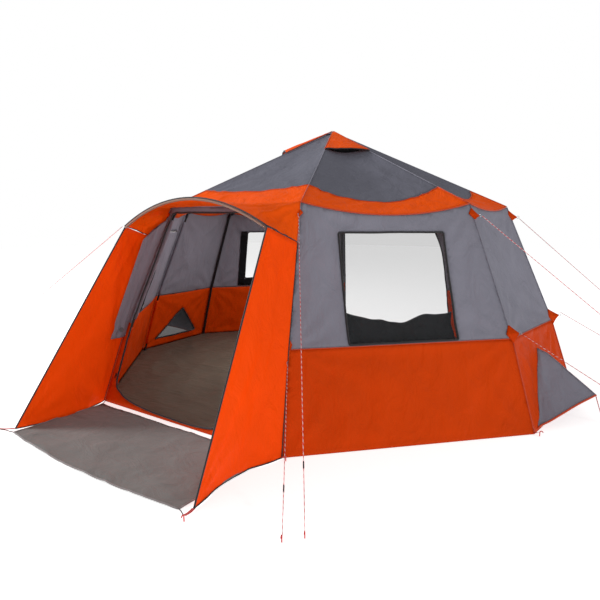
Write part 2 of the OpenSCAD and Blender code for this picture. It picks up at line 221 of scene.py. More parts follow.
def roofPoint(i, u, v, off=0.0):
    e = eaveCurve(i, u)
    flat = e.lerp(peakPt, v)
    mid = (eavePt(i) + eavePt(i + 1)) / 2
    out = (eavePt(i + 1) - eavePt(i)).cross(peakPt - mid).normalized()
    fade = smooth(min(u, 1 - u) / 0.10) * smooth(v / 0.05) * smooth((1 - v) / 0.1)
    x = (u - 0.5) * (1 - v) * 1.4
    s = v * 1.6
    ripple = 0.8 * sin(20 * x + 4 * wave(x * 2, s * 2, i)) * wave(x * 2 + i, s, 5.5)
    creases = 0.007 * crumple(x * 0.9, s * 0.8, 3 * i + 1.3)
    creases += roof["crease"] * (wave(x * 5 + i, s * 1.5, 2.2) + ripple)
    for cu, turns in ((0, 13), (1, 13)):
        cx = (cu - 0.5) * 1.4
        r = sqrt((x - cx) ** 2 + s * s)
        a = np.arctan2(s, x - cx)
        ray = 1 - 2 * abs(sin(turns * a + i + wave(x * 3, s * 3, i)))
        creases += 0.012 * exp(-r / 0.40) * smooth(r / 0.1) * ray
    belly = -roof["sag"] * sin(pi * u) * 4 * v * (1 - v)
    return flat + out * (fade * (belly + creases) + off)


# flat cloth cut to an outline, then laid on the shell
def inRing(pts, ring):
    pts, r = np.asarray(pts, float), np.asarray(ring, float)
    hit = np.zeros(len(pts), bool)
    for (x0, y0), (x1, y1) in zip(r, np.roll(r, -1, axis=0)):
        if y0 == y1:
            continue
        crosses = (y0 > pts[:, 1]) != (y1 > pts[:, 1])
        hit ^= crosses & (pts[:, 0] < (x1 - x0) * (pts[:, 1] - y0) / (y1 - y0) + x0)
    return hit


def toRing(pts, ring):
    pts, r = np.asarray(pts, float), np.asarray(ring, float)
    best = np.full(len(pts), 9.0)
    for a, b in zip(r, np.roll(r, -1, axis=0)):
        d = b - a
        t = np.clip(((pts - a) @ d) / max(1e-12, d @ d), 0, 1)
        best = np.minimum(best, np.linalg.norm(pts - a - t[:, None] * d, axis=1))
    return best


def dotted(ring, gap, closed=True):
    out = []
    for a, b in zip(ring, ring[1:] + ring[:1] if closed else ring[1:]):
        n = max(1, round(sqrt((b[0] - a[0]) ** 2 + (b[1] - a[1]) ** 2) / gap))
        out += [(mix(a[0], b[0], k / n), mix(a[1], b[1], k / n)) for k in range(n)]
    return out if closed else out + [ring[-1]]


def rounded(corners, steps=5):  # corners are (x, y, radius)
    out = []
    n = len(corners)
    for k, (x, y, r) in enumerate(corners):
        here = Vector((x, y))
        before = Vector(corners[k - 1][:2]) - here
        after = Vector(corners[(k + 1) % n][:2]) - here
        r = min(r, before.length * 0.48, after.length * 0.48)
        a, b = here + before.normalized() * r, here + after.normalized() * r
        if r < 0.002:
            out.append((x, y))
            continue
        for j in range(steps + 1):
            t = j / steps
            q = a * (1 - t) ** 2 + here * 2 * t * (1 - t) + b * t * t
            out.append((q.x, q.y))
    return out


def cutCloth(outline, holes=(), gap=0.03, line=None):
    rings = [dotted(outline, gap)] + [dotted(h, gap) for h in holes]
    dots, sides = [], []
    for ring in rings:
        n = len(dots)
        dots += ring
        sides += [(n + k, n + (k + 1) % len(ring)) for k in range(len(ring))]
    if line:
        n = len(dots)
        run = dotted(line, gap, closed=False)
        dots += run
        sides += [(n + k, n + k + 1) for k in range(len(run) - 1)]
    xs, ys = [d[0] for d in rings[0]], [d[1] for d in rings[0]]
    inner = []
    y, row = min(ys) + gap * 0.8, 0
    while y < max(ys):
        x = min(xs) + (gap / 2 if row % 2 else 0)
        while x < max(xs):
            inner.append((x, y))
            x += gap
        y += gap * 0.87
        row += 1
    inner = np.array(inner)
    keep = inRing(inner, rings[0]) & (toRing(inner, rings[0]) > gap * 0.45)
    for h in rings[1:]:
        keep &= ~inRing(inner, h) & (toRing(inner, h) > gap * 0.45)
    if line:
        keep &= np.abs(inner[:, 1] - line[0][1]) > gap * 0.4
    dots += [tuple(d) for d in inner[keep]]
    verts, _, faces, _, _, _ = delaunay_2d_cdt([Vector(d) for d in dots], sides, [], 0, 1e-5)
    mids = [((verts[f[0]].x + verts[f[1]].x + verts[f[2]].x) / 3,
             (verts[f[0]].y + verts[f[1]].y + verts[f[2]].y) / 3)
            for f in faces]
    good = inRing(mids, rings[0])
    for h in rings[1:]:
        good &= ~inRing(mids, h)
    kept = []
    for f, ok in zip(faces, good):
        if ok:
            a, b, c = (verts[k] for k in f)
            area = (b - a).cross(c - a)
            if abs(area) > 1e-9:
                kept.append(tuple(f) if area > 0 else tuple(reversed(f)))
    flat = [(v.x, v.y) for v in verts]
    near = np.minimum.reduce([toRing(flat, r) for r in rings])
    return flat, kept, near


def newCloth(): return {"points": [], "faces": [], "uv": [], "near": []}


def addPatch(cloth, points, faces, uv, near):
    n = len(cloth["points"])
    used = sorted({k for f in faces for k in f})
    place = {k: n + j for j, k in enumerate(used)}
    cloth["points"] += [points[k] for k in used]
    cloth["uv"] += [uv[k] for k in used]
    cloth["near"] += [float(near[k]) for k in used]
    cloth["faces"] += [tuple(place[k] for k in f) for f in faces]


def addGrid(cloth, rows, uvRows, flip=False):  # rows of points, joined in quads
    m, k = len(rows), len(rows[0])
    points = [q for r in rows for q in r]
    uv = [q for r in uvRows for q in r]
    near = [min(i, m - 1 - i, j, k - 1 - j) * 0.03 for i in range(m) for j in range(k)]
    faces = [(i * k + j, i * k + j + 1, (i + 1) * k + j + 1, (i + 1) * k + j) for i in range(m - 1)
             for j in range(k - 1)]
    if flip:
        faces = [tuple(reversed(f)) for f in faces]
    addPatch(cloth, points, faces, uv, near)


def makeCloth(name, cloth, finish, thick=0.0012, weld=0.0004):
    mesh = bpy.data.meshes.new(name)
    mesh.from_pydata([tuple(q) for q in cloth["points"]], [], cloth["faces"])
    piece = bpy.data.objects.new(name, mesh)
    bpy.context.collection.objects.link(piece)
    layer = mesh.uv_layers.new(name="cut")
    for loop in mesh.loops:
        layer.data[loop.index].uv = cloth["uv"][loop.vertex_index]
    near = mesh.attributes.new("seamNear", "FLOAT", "POINT")
    near.data.foreach_set("value", [exp(-d / 0.022) for d in cloth["near"]])
    only(piece)
    bpy.ops.object.mode_set(mode="EDIT")
    bpy.ops.mesh.select_all(action="SELECT")
    bpy.ops.mesh.remove_doubles(threshold=weld)
    bpy.ops.object.mode_set(mode="OBJECT")
    area = sum(f.area for f in mesh.polygons)
    if thick:
        wall = piece.modifiers.new("thickness", "SOLIDIFY")
        wall.thickness = thick
        wall.offset = -1
        applyModifiers(piece)
    bpy.ops.object.shade_smooth()
    mesh.materials.append(finish)
    return piece, area


def tubeMesh(points, radius, sides=8, closedRun=False):  # round cord or piping through points
    pts = [Vector(p) for p in points]
    n = len(pts)
    ahead = []
    for k in range(n):
        if closedRun:
            d = pts[(k + 1) % n] - pts[k - 1]
        else:
            d = pts[min(n - 1, k + 1)] - pts[max(0, k - 1)]
        ahead.append(d.normalized())
    side = ahead[0].orthogonal().normalized()
    verts, uv, run = [], [], 0.0
    for k in range(n):
        side = (side - ahead[k] * side.dot(ahead[k])).normalized()
        other = ahead[k].cross(side)
        if k:
            run += (pts[k] - pts[k - 1]).length
        r = radius[k] if hasattr(radius, "__len__") else radius
        for q in range(sides):
            a = 2 * pi * q / sides
            verts.append(pts[k] + (side * cos(a) + other * sin(a)) * r)
            uv.append((q / sides, run))
    faces = []
    for k in range(n if closedRun else n - 1):
        for q in range(sides):
            a, b = k * sides + q, k * sides + (q + 1) % sides
            c, d = ((k + 1) % n) * sides + (q + 1) % sides, ((k + 1) % n) * sides + q
            faces.append((a, b, c, d))
    if not closedRun:
        faces.append(tuple(reversed(range(sides))))
        faces.append(tuple(range((n - 1) * sides, n * sides)))
    return verts, faces, uv


def makeTubes(name, runs, finish):  # runs are (points, radius, sides, closed)
    verts, faces, uv = [], [], []
    for points, radius, sides, closedRun in runs:
        v, f, t = tubeMesh(points, radius, sides, closedRun)
        n = len(verts)
        verts += v
        uv += t
        faces += [tuple(k + n for k in q) for q in f]
    mesh = bpy.data.meshes.new(name)
    mesh.from_pydata([tuple(v) for v in verts], [], faces)
    layer = mesh.uv_layers.new(name="cut")
    for loop in mesh.loops:
        layer.data[loop.index].uv = uv[loop.vertex_index]
    piece = bpy.data.objects.new(name, mesh)
    bpy.context.collection.objects.link(piece)
    only(piece)
    bpy.ops.object.shade_smooth()
    mesh.materials.append(finish)
    return piece


def foldDown(piece):  # gives the piece its own copy of its mesh
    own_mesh(piece)


def onTent(piece, folds=True):
    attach(piece, "root")
    if folds:
        foldDown(piece)


# finishes
def startFinish(name):
    m = bpy.data.materials.new(name)
    m.use_nodes = True
    nodes, links = m.node_tree.nodes, m.node_tree.links
    return m, nodes, links, nodes["Principled BSDF"]


def addNoise(nodes, links, source, scale, detail=3.0, rough=0.5, warp=0.0):
    n = nodes.new("ShaderNodeTexNoise")
    n.inputs["Scale"].default_value = scale
    n.inputs["Detail"].default_value = detail
    n.inputs["Roughness"].default_value = rough
    n.inputs["Distortion"].default_value = warp
    links.new(source, n.inputs["Vector"])
    return n.outputs["Fac"]


def addBump(nodes, links, height, strength, distance, before=None):
    b = nodes.new("ShaderNodeBump")
    b.inputs["Strength"].default_value = strength
    b.inputs["Distance"].default_value = distance
    links.new(height, b.inputs["Height"])
    if before:
        links.new(before, b.inputs["Normal"])
    return b.outputs["Normal"]


def addRamp(nodes, links, value, low, high, a, b):
    r = nodes.new("ShaderNodeMapRange")
    r.inputs["From Min"].default_value = low
    r.inputs["From Max"].default_value = high
    r.inputs["To Min"].default_value = a
    r.inputs["To Max"].default_value = b
    links.new(value, r.inputs["Value"])
    return r.outputs["Result"]


def addBlend(nodes, links, fac, a, b):
    m = nodes.new("ShaderNodeMix")
    m.data_type = "RGBA"
    if hasattr(fac, "links"):
        links.new(fac, m.inputs["Factor"])
    else:
        m.inputs["Factor"].default_value = fac
    for socket, value in ((m.inputs["A"], a), (m.inputs["B"], b)):
        if hasattr(value, "links"):
            links.new(value, socket)
        else:
            socket.default_value = (*value, 1)
    return m.outputs["Result"]


def clothFinish(name, colour, rough=0.6, crease=0.5, creaseScale=7.0, weave=0.12, fade=0.08, alpha=1.0,
                stretch=(1, 1, 0.55), paintedGlow=0.0):
    m, nodes, links, skin = startFinish(name)
    place = nodes.new("ShaderNodeTexCoord")
    turn = nodes.new("ShaderNodeMapping")
    turn.inputs["Scale"].default_value = stretch
    links.new(place.outputs["Object"], turn.inputs["Vector"])
    blotch = addNoise(nodes, links, place.outputs["Object"], 1.7, 4.0, 0.6)
    folds = addNoise(nodes, links, turn.outputs["Vector"], creaseScale, 5.0, 0.55, 0.9)
    fine = addNoise(nodes, links, turn.outputs["Vector"], creaseScale * 5, 4.0, 0.6, 0.4)
    near = nodes.new("ShaderNodeAttribute")
    near.attribute_name = "seamNear"
    # ripstop grid and yarns, on the cut cloth's own plan
    bricks = nodes.new("ShaderNodeTexBrick")
    bricks.offset = 0
    bricks.inputs["Scale"].default_value = 1.0
    bricks.inputs["Brick Width"].default_value = 0.007
    bricks.inputs["Row Height"].default_value = 0.007
    bricks.inputs["Mortar Size"].default_value = 0.0007
    bricks.inputs["Color1"].default_value = (1, 1, 1, 1)
    bricks.inputs["Color2"].default_value = (0.94, 0.94, 0.94, 1)
    bricks.inputs["Mortar"].default_value = (0.6, 0.6, 0.6, 1)
    links.new(place.outputs["UV"], bricks.inputs["Vector"])
    pale = tuple(min(1, c * (1 + fade)) for c in colour)
    deep = tuple(c * (1 - fade) for c in colour)
    tone = addBlend(nodes, links, addRamp(nodes, links, blotch, 0.3, 0.7, 0, 1), deep, pale)
    # painted shade: the colour darkens towards each seam and cut edge, where the cloth puckers
    paintedSeamShade = addBlend(nodes, links, addRamp(nodes, links, near.outputs["Fac"], 0.1, 1.0, 0.0, 0.34), tone,
                    tuple(c * 0.62 for c in colour))
    grid = addBlend(nodes, links, addRamp(nodes, links, bricks.outputs["Fac"], 0, 1, 0, weave), paintedSeamShade,
                    tuple(c * 0.75 for c in colour))
    links.new(grid, skin.inputs["Base Color"])
    links.new(addRamp(nodes, links, fine, 0.3, 0.7, rough - 0.07, rough + 0.09), skin.inputs["Roughness"])
    n1 = addBump(nodes, links, folds, crease, 0.022)
    n2 = addBump(nodes, links, fine, crease * 0.5, 0.0035, n1)
    n3 = addBump(nodes, links, bricks.outputs["Fac"], weave, -0.0002, n2)
    # puckers that run along each seam
    pucker = nodes.new("ShaderNodeMath")
    pucker.operation = "MULTIPLY"
    links.new(addNoise(nodes, links, place.outputs["Object"], 42, 2.0, 0.5), pucker.inputs[0])
    links.new(near.outputs["Fac"], pucker.inputs[1])
    n4 = addBump(nodes, links, pucker.outputs["Value"], 0.7, 0.006, n3)
    links.new(n4, skin.inputs["Normal"])
    skin.inputs["Specular IOR Level"].default_value = 0.06
    skin.inputs["Emission Color"].default_value = (*colour, 1)
    skin.inputs["Emission Strength"].default_value = paintedGlow  # painted glow: emission stands in for daylight shining through the thin cloth
    skin.inputs["Alpha"].default_value = alpha
    if alpha < 1:
        m.blend_method = "BLEND"
    return m


def cordFinish(name, colour, mark, step=0.02):  # braided line with a tracer
    m, nodes, links, skin = startFinish(name)
    place = nodes.new("ShaderNodeTexCoord")
    split = nodes.new("ShaderNodeSeparateXYZ")
    links.new(place.outputs["UV"], split.inputs["Vector"])
    twist = nodes.new("ShaderNodeMath")
    twist.operation = "MULTIPLY_ADD"
    links.new(split.outputs["Y"], twist.inputs[0])
    twist.inputs[1].default_value = 1 / step
    links.new(split.outputs["X"], twist.inputs[2])
    part = nodes.new("ShaderNodeMath")
    part.operation = "FRACT"
    links.new(twist.outputs["Value"], part.inputs[0])
    dash = addRamp(nodes, links, part.outputs["Value"], 0.44, 0.50, 0, 1)
    links.new(addBlend(nodes, links, dash, colour, mark), skin.inputs["Base Color"])
    yarn = nodes.new("ShaderNodeTexWave")
    yarn.wave_type = "BANDS"
    yarn.bands_direction = "DIAGONAL"
    yarn.inputs["Scale"].default_value = 260
    links.new(place.outputs["UV"], yarn.inputs["Vector"])
    links.new(addBump(nodes, links, yarn.outputs["Fac"], 0.4, 0.0004), skin.inputs["Normal"])
    links.new(addRamp(nodes, links, yarn.outputs["Fac"], 0, 1, 0.6, 0.8), skin.inputs["Roughness"])
    return m


def webbingFinish(name, colour):
    m, nodes, links, skin = startFinish(name)
    place = nodes.new("ShaderNodeTexCoord")
    ribs = nodes.new("ShaderNodeTexWave")
    ribs.inputs["Scale"].default_value = 420
    ribs.inputs["Distortion"].default_value = 0.3
    links.new(place.outputs["Object"], ribs.inputs["Vector"])
    tone = addNoise(nodes, links, place.outputs["Object"], 30, 3)
    links.new(addBlend(nodes, links, tone, tuple(c * 0.8 for c in colour),
                       tuple(min(1, c * 1.12) for c in colour)), skin.inputs["Base Color"])
    links.new(addRamp(nodes, links, tone, 0.3, 0.7, 0.62, 0.8), skin.inputs["Roughness"])
    links.new(addBump(nodes, links, ribs.outputs["Fac"], 0.35, 0.0004), skin.inputs["Normal"])
    skin.inputs["Sheen Weight"].default_value = 0.2
    return m


def plasticFinish(name, colour, rough=0.42):
    m, nodes, links, skin = startFinish(name)
    place = nodes.new("ShaderNodeTexCoord")
    grain = addNoise(nodes, links, place.outputs["Object"], 900, 2)
    scuff = addNoise(nodes, links, place.outputs["Object"], 45, 5, 0.65)
    links.new(addBlend(nodes, links, addRamp(nodes, links, scuff, 0.45, 0.75, 0, 1), colour,
                       tuple(min(1, c * 1.5 + 0.012) for c in colour)), skin.inputs["Base Color"])
    links.new(addRamp(nodes, links, scuff, 0.3, 0.7, rough - 0.06, rough + 0.14), skin.inputs["Roughness"])
    links.new(addBump(nodes, links, grain, 0.2, 0.0002), skin.inputs["Normal"])
    return m


def metalFinish(name, colour, metal=1.0, rough=0.35):
    m, nodes, links, skin = startFinish(name)
    place = nodes.new("ShaderNodeTexCoord")
    turn = nodes.new("ShaderNodeMapping")
    turn.inputs["Scale"].default_value = (1, 1, 0.08)
    links.new(place.outputs["Object"], turn.inputs["Vector"])
    brushed = addNoise(nodes, links, turn.outputs["Vector"], 320, 3)
    wear = addNoise(nodes, links, place.outputs["Object"], 24, 5, 0.7)
    links.new(addBlend(nodes, links, addRamp(nodes, links, wear, 0.5, 0.8, 0, 1), colour,
                       tuple(min(1, c * 1.35 + 0.01) for c in colour)), skin.inputs["Base Color"])
    links.new(addRamp(nodes, links, wear, 0.3, 0.7, rough - 0.08, rough + 0.1), skin.inputs["Roughness"])
    links.new(addBump(nodes, links, brushed, 0.15, 0.0002), skin.inputs["Normal"])
    skin.inputs["Metallic"].default_value = metal
    return m


finish = {
    "orange": clothFinish("orangeCoatedCloth", (0.68, 0.056, 0.0010), rough=0.55, crease=0.9),
    # painted light: a brighter copy of the wall orange with a painted glow, for daylight shining through the
    # thin porch wings
    "paintedLitPorchOrange": clothFinish("paintedLitPorchOrangeCloth", (0.84, 0.063, 0.0010), rough=0.55, crease=0.9, paintedGlow=0.22),
    # painted light: a brighter, yellower copy of the wall orange with a painted glow, for sky sheen and
    # daylight through the roof band, hoods and awning
    "paintedLitTopOrange": clothFinish("paintedLitTopOrangeCloth", (0.86, 0.088, 0.0015), rough=0.52, crease=1.0, paintedGlow=0.12),
    "grey": clothFinish("greyCoatedCloth", (0.255, 0.250, 0.300), rough=0.55, crease=0.9),
    "roofGrey": clothFinish("roofGreyCloth", (0.160, 0.161, 0.198), rough=0.52, crease=0.8, creaseScale=6),
    "floor": clothFinish("floorCloth", (0.125, 0.105, 0.080), rough=0.40, crease=1.0, creaseScale=4.2,
                         weave=0.2, stretch=(0.5, 1.6, 1)),
    "mat": clothFinish("porchMatCloth", (0.190, 0.186, 0.180), rough=0.5, crease=1.0, creaseScale=5,
                       weave=0.2, stretch=(0.8, 1.3, 1)),
    "mesh": clothFinish("fineMesh", (0.11, 0.115, 0.12), rough=0.8, crease=0.2, weave=0.9, alpha=0.22),
    "darkMesh": clothFinish("darkMesh", (0.045, 0.05, 0.052), rough=0.8, crease=0.2, weave=0.9, alpha=0.93),
    "black": clothFinish("blackCloth", (0.012, 0.012, 0.014), rough=0.55, crease=0.9, creaseScale=12),
    "binding": webbingFinish("blackBinding", (0.014, 0.014, 0.016)),
    "greyBinding": webbingFinish("greyBinding", (0.23, 0.20, 0.20)),
    "archBinding": webbingFinish("archSleeveCloth", (0.27, 0.13, 0.085)),
    "orangeBinding": webbingFinish("orangeBinding", (0.62, 0.055, 0.004)),
    "red": webbingFinish("redWebbing", (0.58, 0.018, 0.012)),
    "line": cordFinish("guyLineBraid", (0.80, 0.62, 0.60), (0.70, 0.04, 0.05), step=0.03),
    "peg": metalFinish("redPegPaint", (0.55, 0.022, 0.02), metal=0.25, rough=0.38),
    "ring": metalFinish("ringSteel", (0.55, 0.56, 0.58), rough=0.3),
    "pole": metalFinish("darkPole", (0.030, 0.030, 0.033), metal=0.6, rough=0.34),
    "plastic": plasticFinish("blackPlastic", (0.014, 0.014, 0.015)),
    "pull": plasticFinish("redPlastic", (0.5, 0.02, 0.015)),
    "cap": plasticFinish("greyPlastic", (0.10, 0.10, 0.11)),
}
print("stage: finishes made")


# guy lines: taut cords from the corner tabs to their pegs
guyLines = {
    "thick": 0.004, "sag": 0.002, "points": 25,
    "runs": (((0.666, -1.488, 1.410), (1.404, -2.480, 0.012)),
             ((0.800, -1.790, 0.530), (1.340, -2.560, 0.012)),
             ((1.545, -0.548, 1.410), (3.440, -1.220, 0.012)),
             ((1.870, -0.662, 0.642), (3.390, -1.330, 0.012)),
             ((1.618, 0.228, 1.400), (3.150, 0.450, 0.012)),
             ((1.955, 0.272, 0.668), (3.080, 0.560, 0.012)),
             ((-0.684, -1.822, 1.338), (-2.610, -2.370, 0.012)),
             ((-0.800, -1.790, 0.530), (-2.480, -2.200, 0.012))),
    "runnerAt": (0.300, 0.240, 0.520, 0.900, 0.520, 0.420, 0.400, 0.360),
}


def guyPoint(run, t):
    a, b = Vector(run[0]), Vector(run[1])
    return a.lerp(b, t) - Vector((0, 0, 4 * t * (1 - t) * (b - a).length * guyLines["sag"]))


def makeGuys():
    for k, run in enumerate(guyLines["runs"], 1):
        route = [guyPoint(run, j / (guyLines["points"] - 1)) for j in range(guyLines["points"])]
        line = makeTubes(f"guyLine{k}", [(route, guyLines["thick"] / 2, 10, False)], finish["line"])
        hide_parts(f"guy_{k}")
        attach(line, "root")
        foldDown(line)


makeGuys()
print("stage: guy lines made")


# the cutouts of each wall
h1 = plans[7]["h1"]
cutouts = {
    "door": [(-0.775, 0.175, 0.03), (-0.745, 0.115, 0.03), (-0.66, 0.075, 0.05), (-0.53, 0.046, 0.06),
             (-0.30, 0.026, 0.1), (0.10, 0.020, 0.1),
             (0.30, 0.040, 0.08), (0.45, 0.11, 0.08), (0.53, 0.25, 0.08), (0.545, 0.45, 0.1),
             (0.54, h1 + 0.50, 0.2), (0.45, h1 + 0.80, 0.15),
             (0.32, h1 + 0.895, 0.08), (-0.588, h1 + 0.905, 0.03), (-0.709, 0.70, 0.02)],
    "frontWindow": [(-0.37, 0.012, 0.012), (0.37, 0.012, 0.012), (0.37, 0.752, 0.012), (-0.37, 0.752, 0.012)],
    "rearWindow": [(-0.47, 0.125, 0.03), (0.47, 0.125, 0.03), (0.47, 0.725, 0.03), (-0.47, 0.725, 0.03)],
    "rearDoor": [(-0.54, 0.25, 0.06), (-0.45, 0.09, 0.06), (-0.29, 0.03, 0.06), (0.83, 0.03, 0.03),
                 (0.89, 0.08, 0.03), (0.907, 0.15, 0.03),
                 (0.842, 0.60, 0.02), (0.676, h1 + 0.90, 0.03), (-0.34, h1 + 0.90, 0.06),
                 (-0.45, h1 + 0.80, 0.06), (-0.54, h1 + 0.50, 0.1)],
    "vent": [(-0.33, 0.10, 0.01), (0.33, 0.10, 0.01), (0, 0.44, 0.01)],
}


def wallHoles(i):
    p = plans[i]
    if i == 7:
        return [rounded(cutouts["door"])]
    if i == 3:
        return [rounded(cutouts["rearDoor"])]
    if i in (0, 6):
        return [rounded([(x, s + p["h1"], r) for x, s, r in cutouts["frontWindow"]])]
    if i in (2, 4):
        return [rounded([(x, s + p["h1"], r) for x, s, r in cutouts["rearWindow"]])]
    return [rounded(cutouts["vent"])]


def wallOutline(p):
    steps = roof["across"]
    top = [(mix(-p["w2"] / 2, p["w2"] / 2, u), p["h1"] + p["h2"] - p["sag"] * 4 * u * (1 - u))
           for u in (1 - k / steps for k in range(steps + 1))]
    return [(-p["w0"] / 2, 0), (p["w0"] / 2, 0), (p["w1"] / 2, p["h1"])] + top + [(-p["w1"] / 2, p["h1"])]


def makeWalls():
    lower, upper, frontLow, frontHigh = newCloth(), newCloth(), newCloth(), newCloth()
    for i, p in enumerate(plans):
        flat, faces, near = cutCloth(wallOutline(p), wallHoles(i), shell["gap"],
                                     [(-p["w1"] / 2, p["h1"]), (p["w1"] / 2, p["h1"])])
        points = [onFacet(p, x, s) for x, s in flat]
        near = [min(n, abs(s - p["h1"]) + 0.004) for n, (x, s) in zip(near, flat)]
        low = [f for f in faces if sum(flat[k][1] for k in f) / 3 < p["h1"]]
        high = [f for f in faces if sum(flat[k][1] for k in f) / 3 >= p["h1"]]
        addPatch(frontLow if i == 7 else lower, points, low, flat, near)
        addPatch(frontHigh if i == 7 else upper, points, high, flat, near)
    for name, cloth, node, colour, wide in (("lowerWallCloth", lower, "lower_walls", "orange", 11.2),
                                            ("upperWallCloth", upper, "upper_walls", "grey", 11.2),
                                            ("frontWallLower", frontLow, "front_wall", "orange", 1.72),
                                            ("frontWallUpper", frontHigh, None, "grey", 1.72)):
        piece, area = makeCloth(name, cloth, finish[colour])
        if node:
            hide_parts(node)
        onTent(piece)


makeWalls()
print("stage: walls made")


# the roof
def bandTop(i, u):
    side, middle = shell["bandSide"], shell["bandMiddle"][i % 8]
    return side - (side - middle) * 4 * u * (1 - u)


def makeRoof():
    n = roof["across"]
    band, crown = newCloth(), newCloth()
    for i in range(8):
        us = [k / n for k in range(n + 1)]
        rows = [[roofPoint(i, u, bandTop(i, u) * r / 9) for u in us] for r in range(10)]
        flat = [[((u - 0.5) * 1.5, bandTop(i, u) * 1.6 * r / 9) for u in us] for r in range(10)]
        addGrid(band, rows, flat)
        levels = [r / 42 for r in range(43)]
        rows = [[roofPoint(i, u, mix(bandTop(i, u), 0.997, r)) for u in us] for r in levels]
        flat = [[((u - 0.5) * 1.5 * (1 - 0.8 * r), mix(0.3, 1.6, r)) for u in us] for r in levels]
        addGrid(crown, rows, flat)
    for name, cloth, node, colour, slot in (
            ("roofBandCloth", band, "roof_band", "paintedLitTopOrange", "orange_cloth"),
            ("roofCrownCloth", crown, "roof_crown", "roofGrey", "grey_cloth")):
        piece, area = makeCloth(name, cloth, finish[colour], weld=0.0006)
        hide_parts(node)
        onTent(piece)


peakHoods = {"foot": 0.675, "rise": 0.052, "leftRise": 1.5, "low": 0.010, "meshBack": 0.035, "facets": (0, 6)}


def hoodPoint(i, u, v, off=0.0):  # v is 0 at the mouth and 1 at the peak
    slope = mix(peakHoods["foot"], 0.992, v)
    arch = sin(pi * min(1, max(0, u))) ** 0.8
    taller = peakHoods["leftRise"] if i == 6 else 1
    lift = peakHoods["low"] + peakHoods["rise"] * taller * arch * (1 - v) ** 0.8
    base = roofPoint(i, u, slope)
    return base + Vector((0, 0, lift + off)) + 0.003 * Vector((0, 0, wave(u * 6, v * 5, i)))


def makePeakHoods():
    hood, dark = newCloth(), newCloth()
    edges, lips = [], []
    for i in peakHoods["facets"]:
        us = [k / 24 for k in range(25)]
        vs = [k / 16 for k in range(17)]
        addGrid(hood, [[hoodPoint(i, u, v) for u in us] for v in vs],
                [[(u * 0.5 * (1 - v), v * 0.5) for u in us] for v in vs])
        # dark mesh that closes the vent, set back under the mouth
        lows = [[roofPoint(i, u, peakHoods["foot"] + peakHoods["meshBack"], 0.002) for u in us],
                [hoodPoint(i, u, 0.10, -0.006) for u in us]]
        addGrid(dark, lows, [[(u * 0.5, k * 0.05) for u in us] for k in range(2)])
        lips.append(([hoodPoint(i, u, 0.0, -0.003) for u in us], 0.0055, 8, False))
        for u in (0, 1):
            edges.append(([hoodPoint(i, u, v, 0.002) for v in vs], 0.004, 6, False))
    piece, area = makeCloth("peakHoodCloth", hood, finish["paintedLitTopOrange"])
    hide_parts("peak_vent_hoods")
    onTent(piece)
    piece, area = makeCloth("peakVentMesh", dark, finish["black"])
    onTent(piece)
    onTent(makeTubes("peakHoodPiping", edges, finish["orangeBinding"]))
    onTent(makeTubes("peakHoodLips", lips, finish["binding"]))
    # grey cap patch over the very top
    cap = newCloth()
    ring = 48
    rows = [[Vector((r * cos(2 * pi * k / ring), r * sin(2 * pi * k / ring),
                     2.2095 - 0.459 * r - 0.0025 * exp(-r / 0.02)))
             for k in range(ring + 1)] for r in (0.075, 0.06, 0.045, 0.03, 0.015, 0.001)]
    addGrid(cap, rows, [[(k / ring * 0.4, j * 0.015) for k in range(ring + 1)] for j in range(6)])
    piece, area = makeCloth("peakCapPatch", cap, finish["roofGrey"])
    onTent(piece)


makeRoof()
makePeakHoods()
print("stage: roof made")


# see-through windows, door screen and low vents
def makeScreens():
    screens, rear, vents = newCloth(), newCloth(), newCloth()
    for i in range(7):
        p = plans[i]
        flat, faces, near = cutCloth(wallHoles(i)[0], (), shell["gap"])
        points = [onFacet(p, x, s, -0.0012) for x, s in flat]
        addPatch(rear if i == 3 else vents if i in (1, 5) else screens, points, faces, flat, near)
    for name, cloth, node, colour in (("windowScreens", screens, "big_windows", "mesh"),
                                      ("rearDoorScreen", rear, "rear_door_mesh", "mesh"),
                                      ("lowVentScreens", vents, "low_vent_meshes", "darkMesh")):
        piece, area = makeCloth(name, cloth, finish[colour], thick=0)
        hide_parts(node)
        onTent(piece)


doorGaps = {3: (-0.56, 1.0), 7: (-0.73, 0.56)}  # where a door interrupts its wall's seam


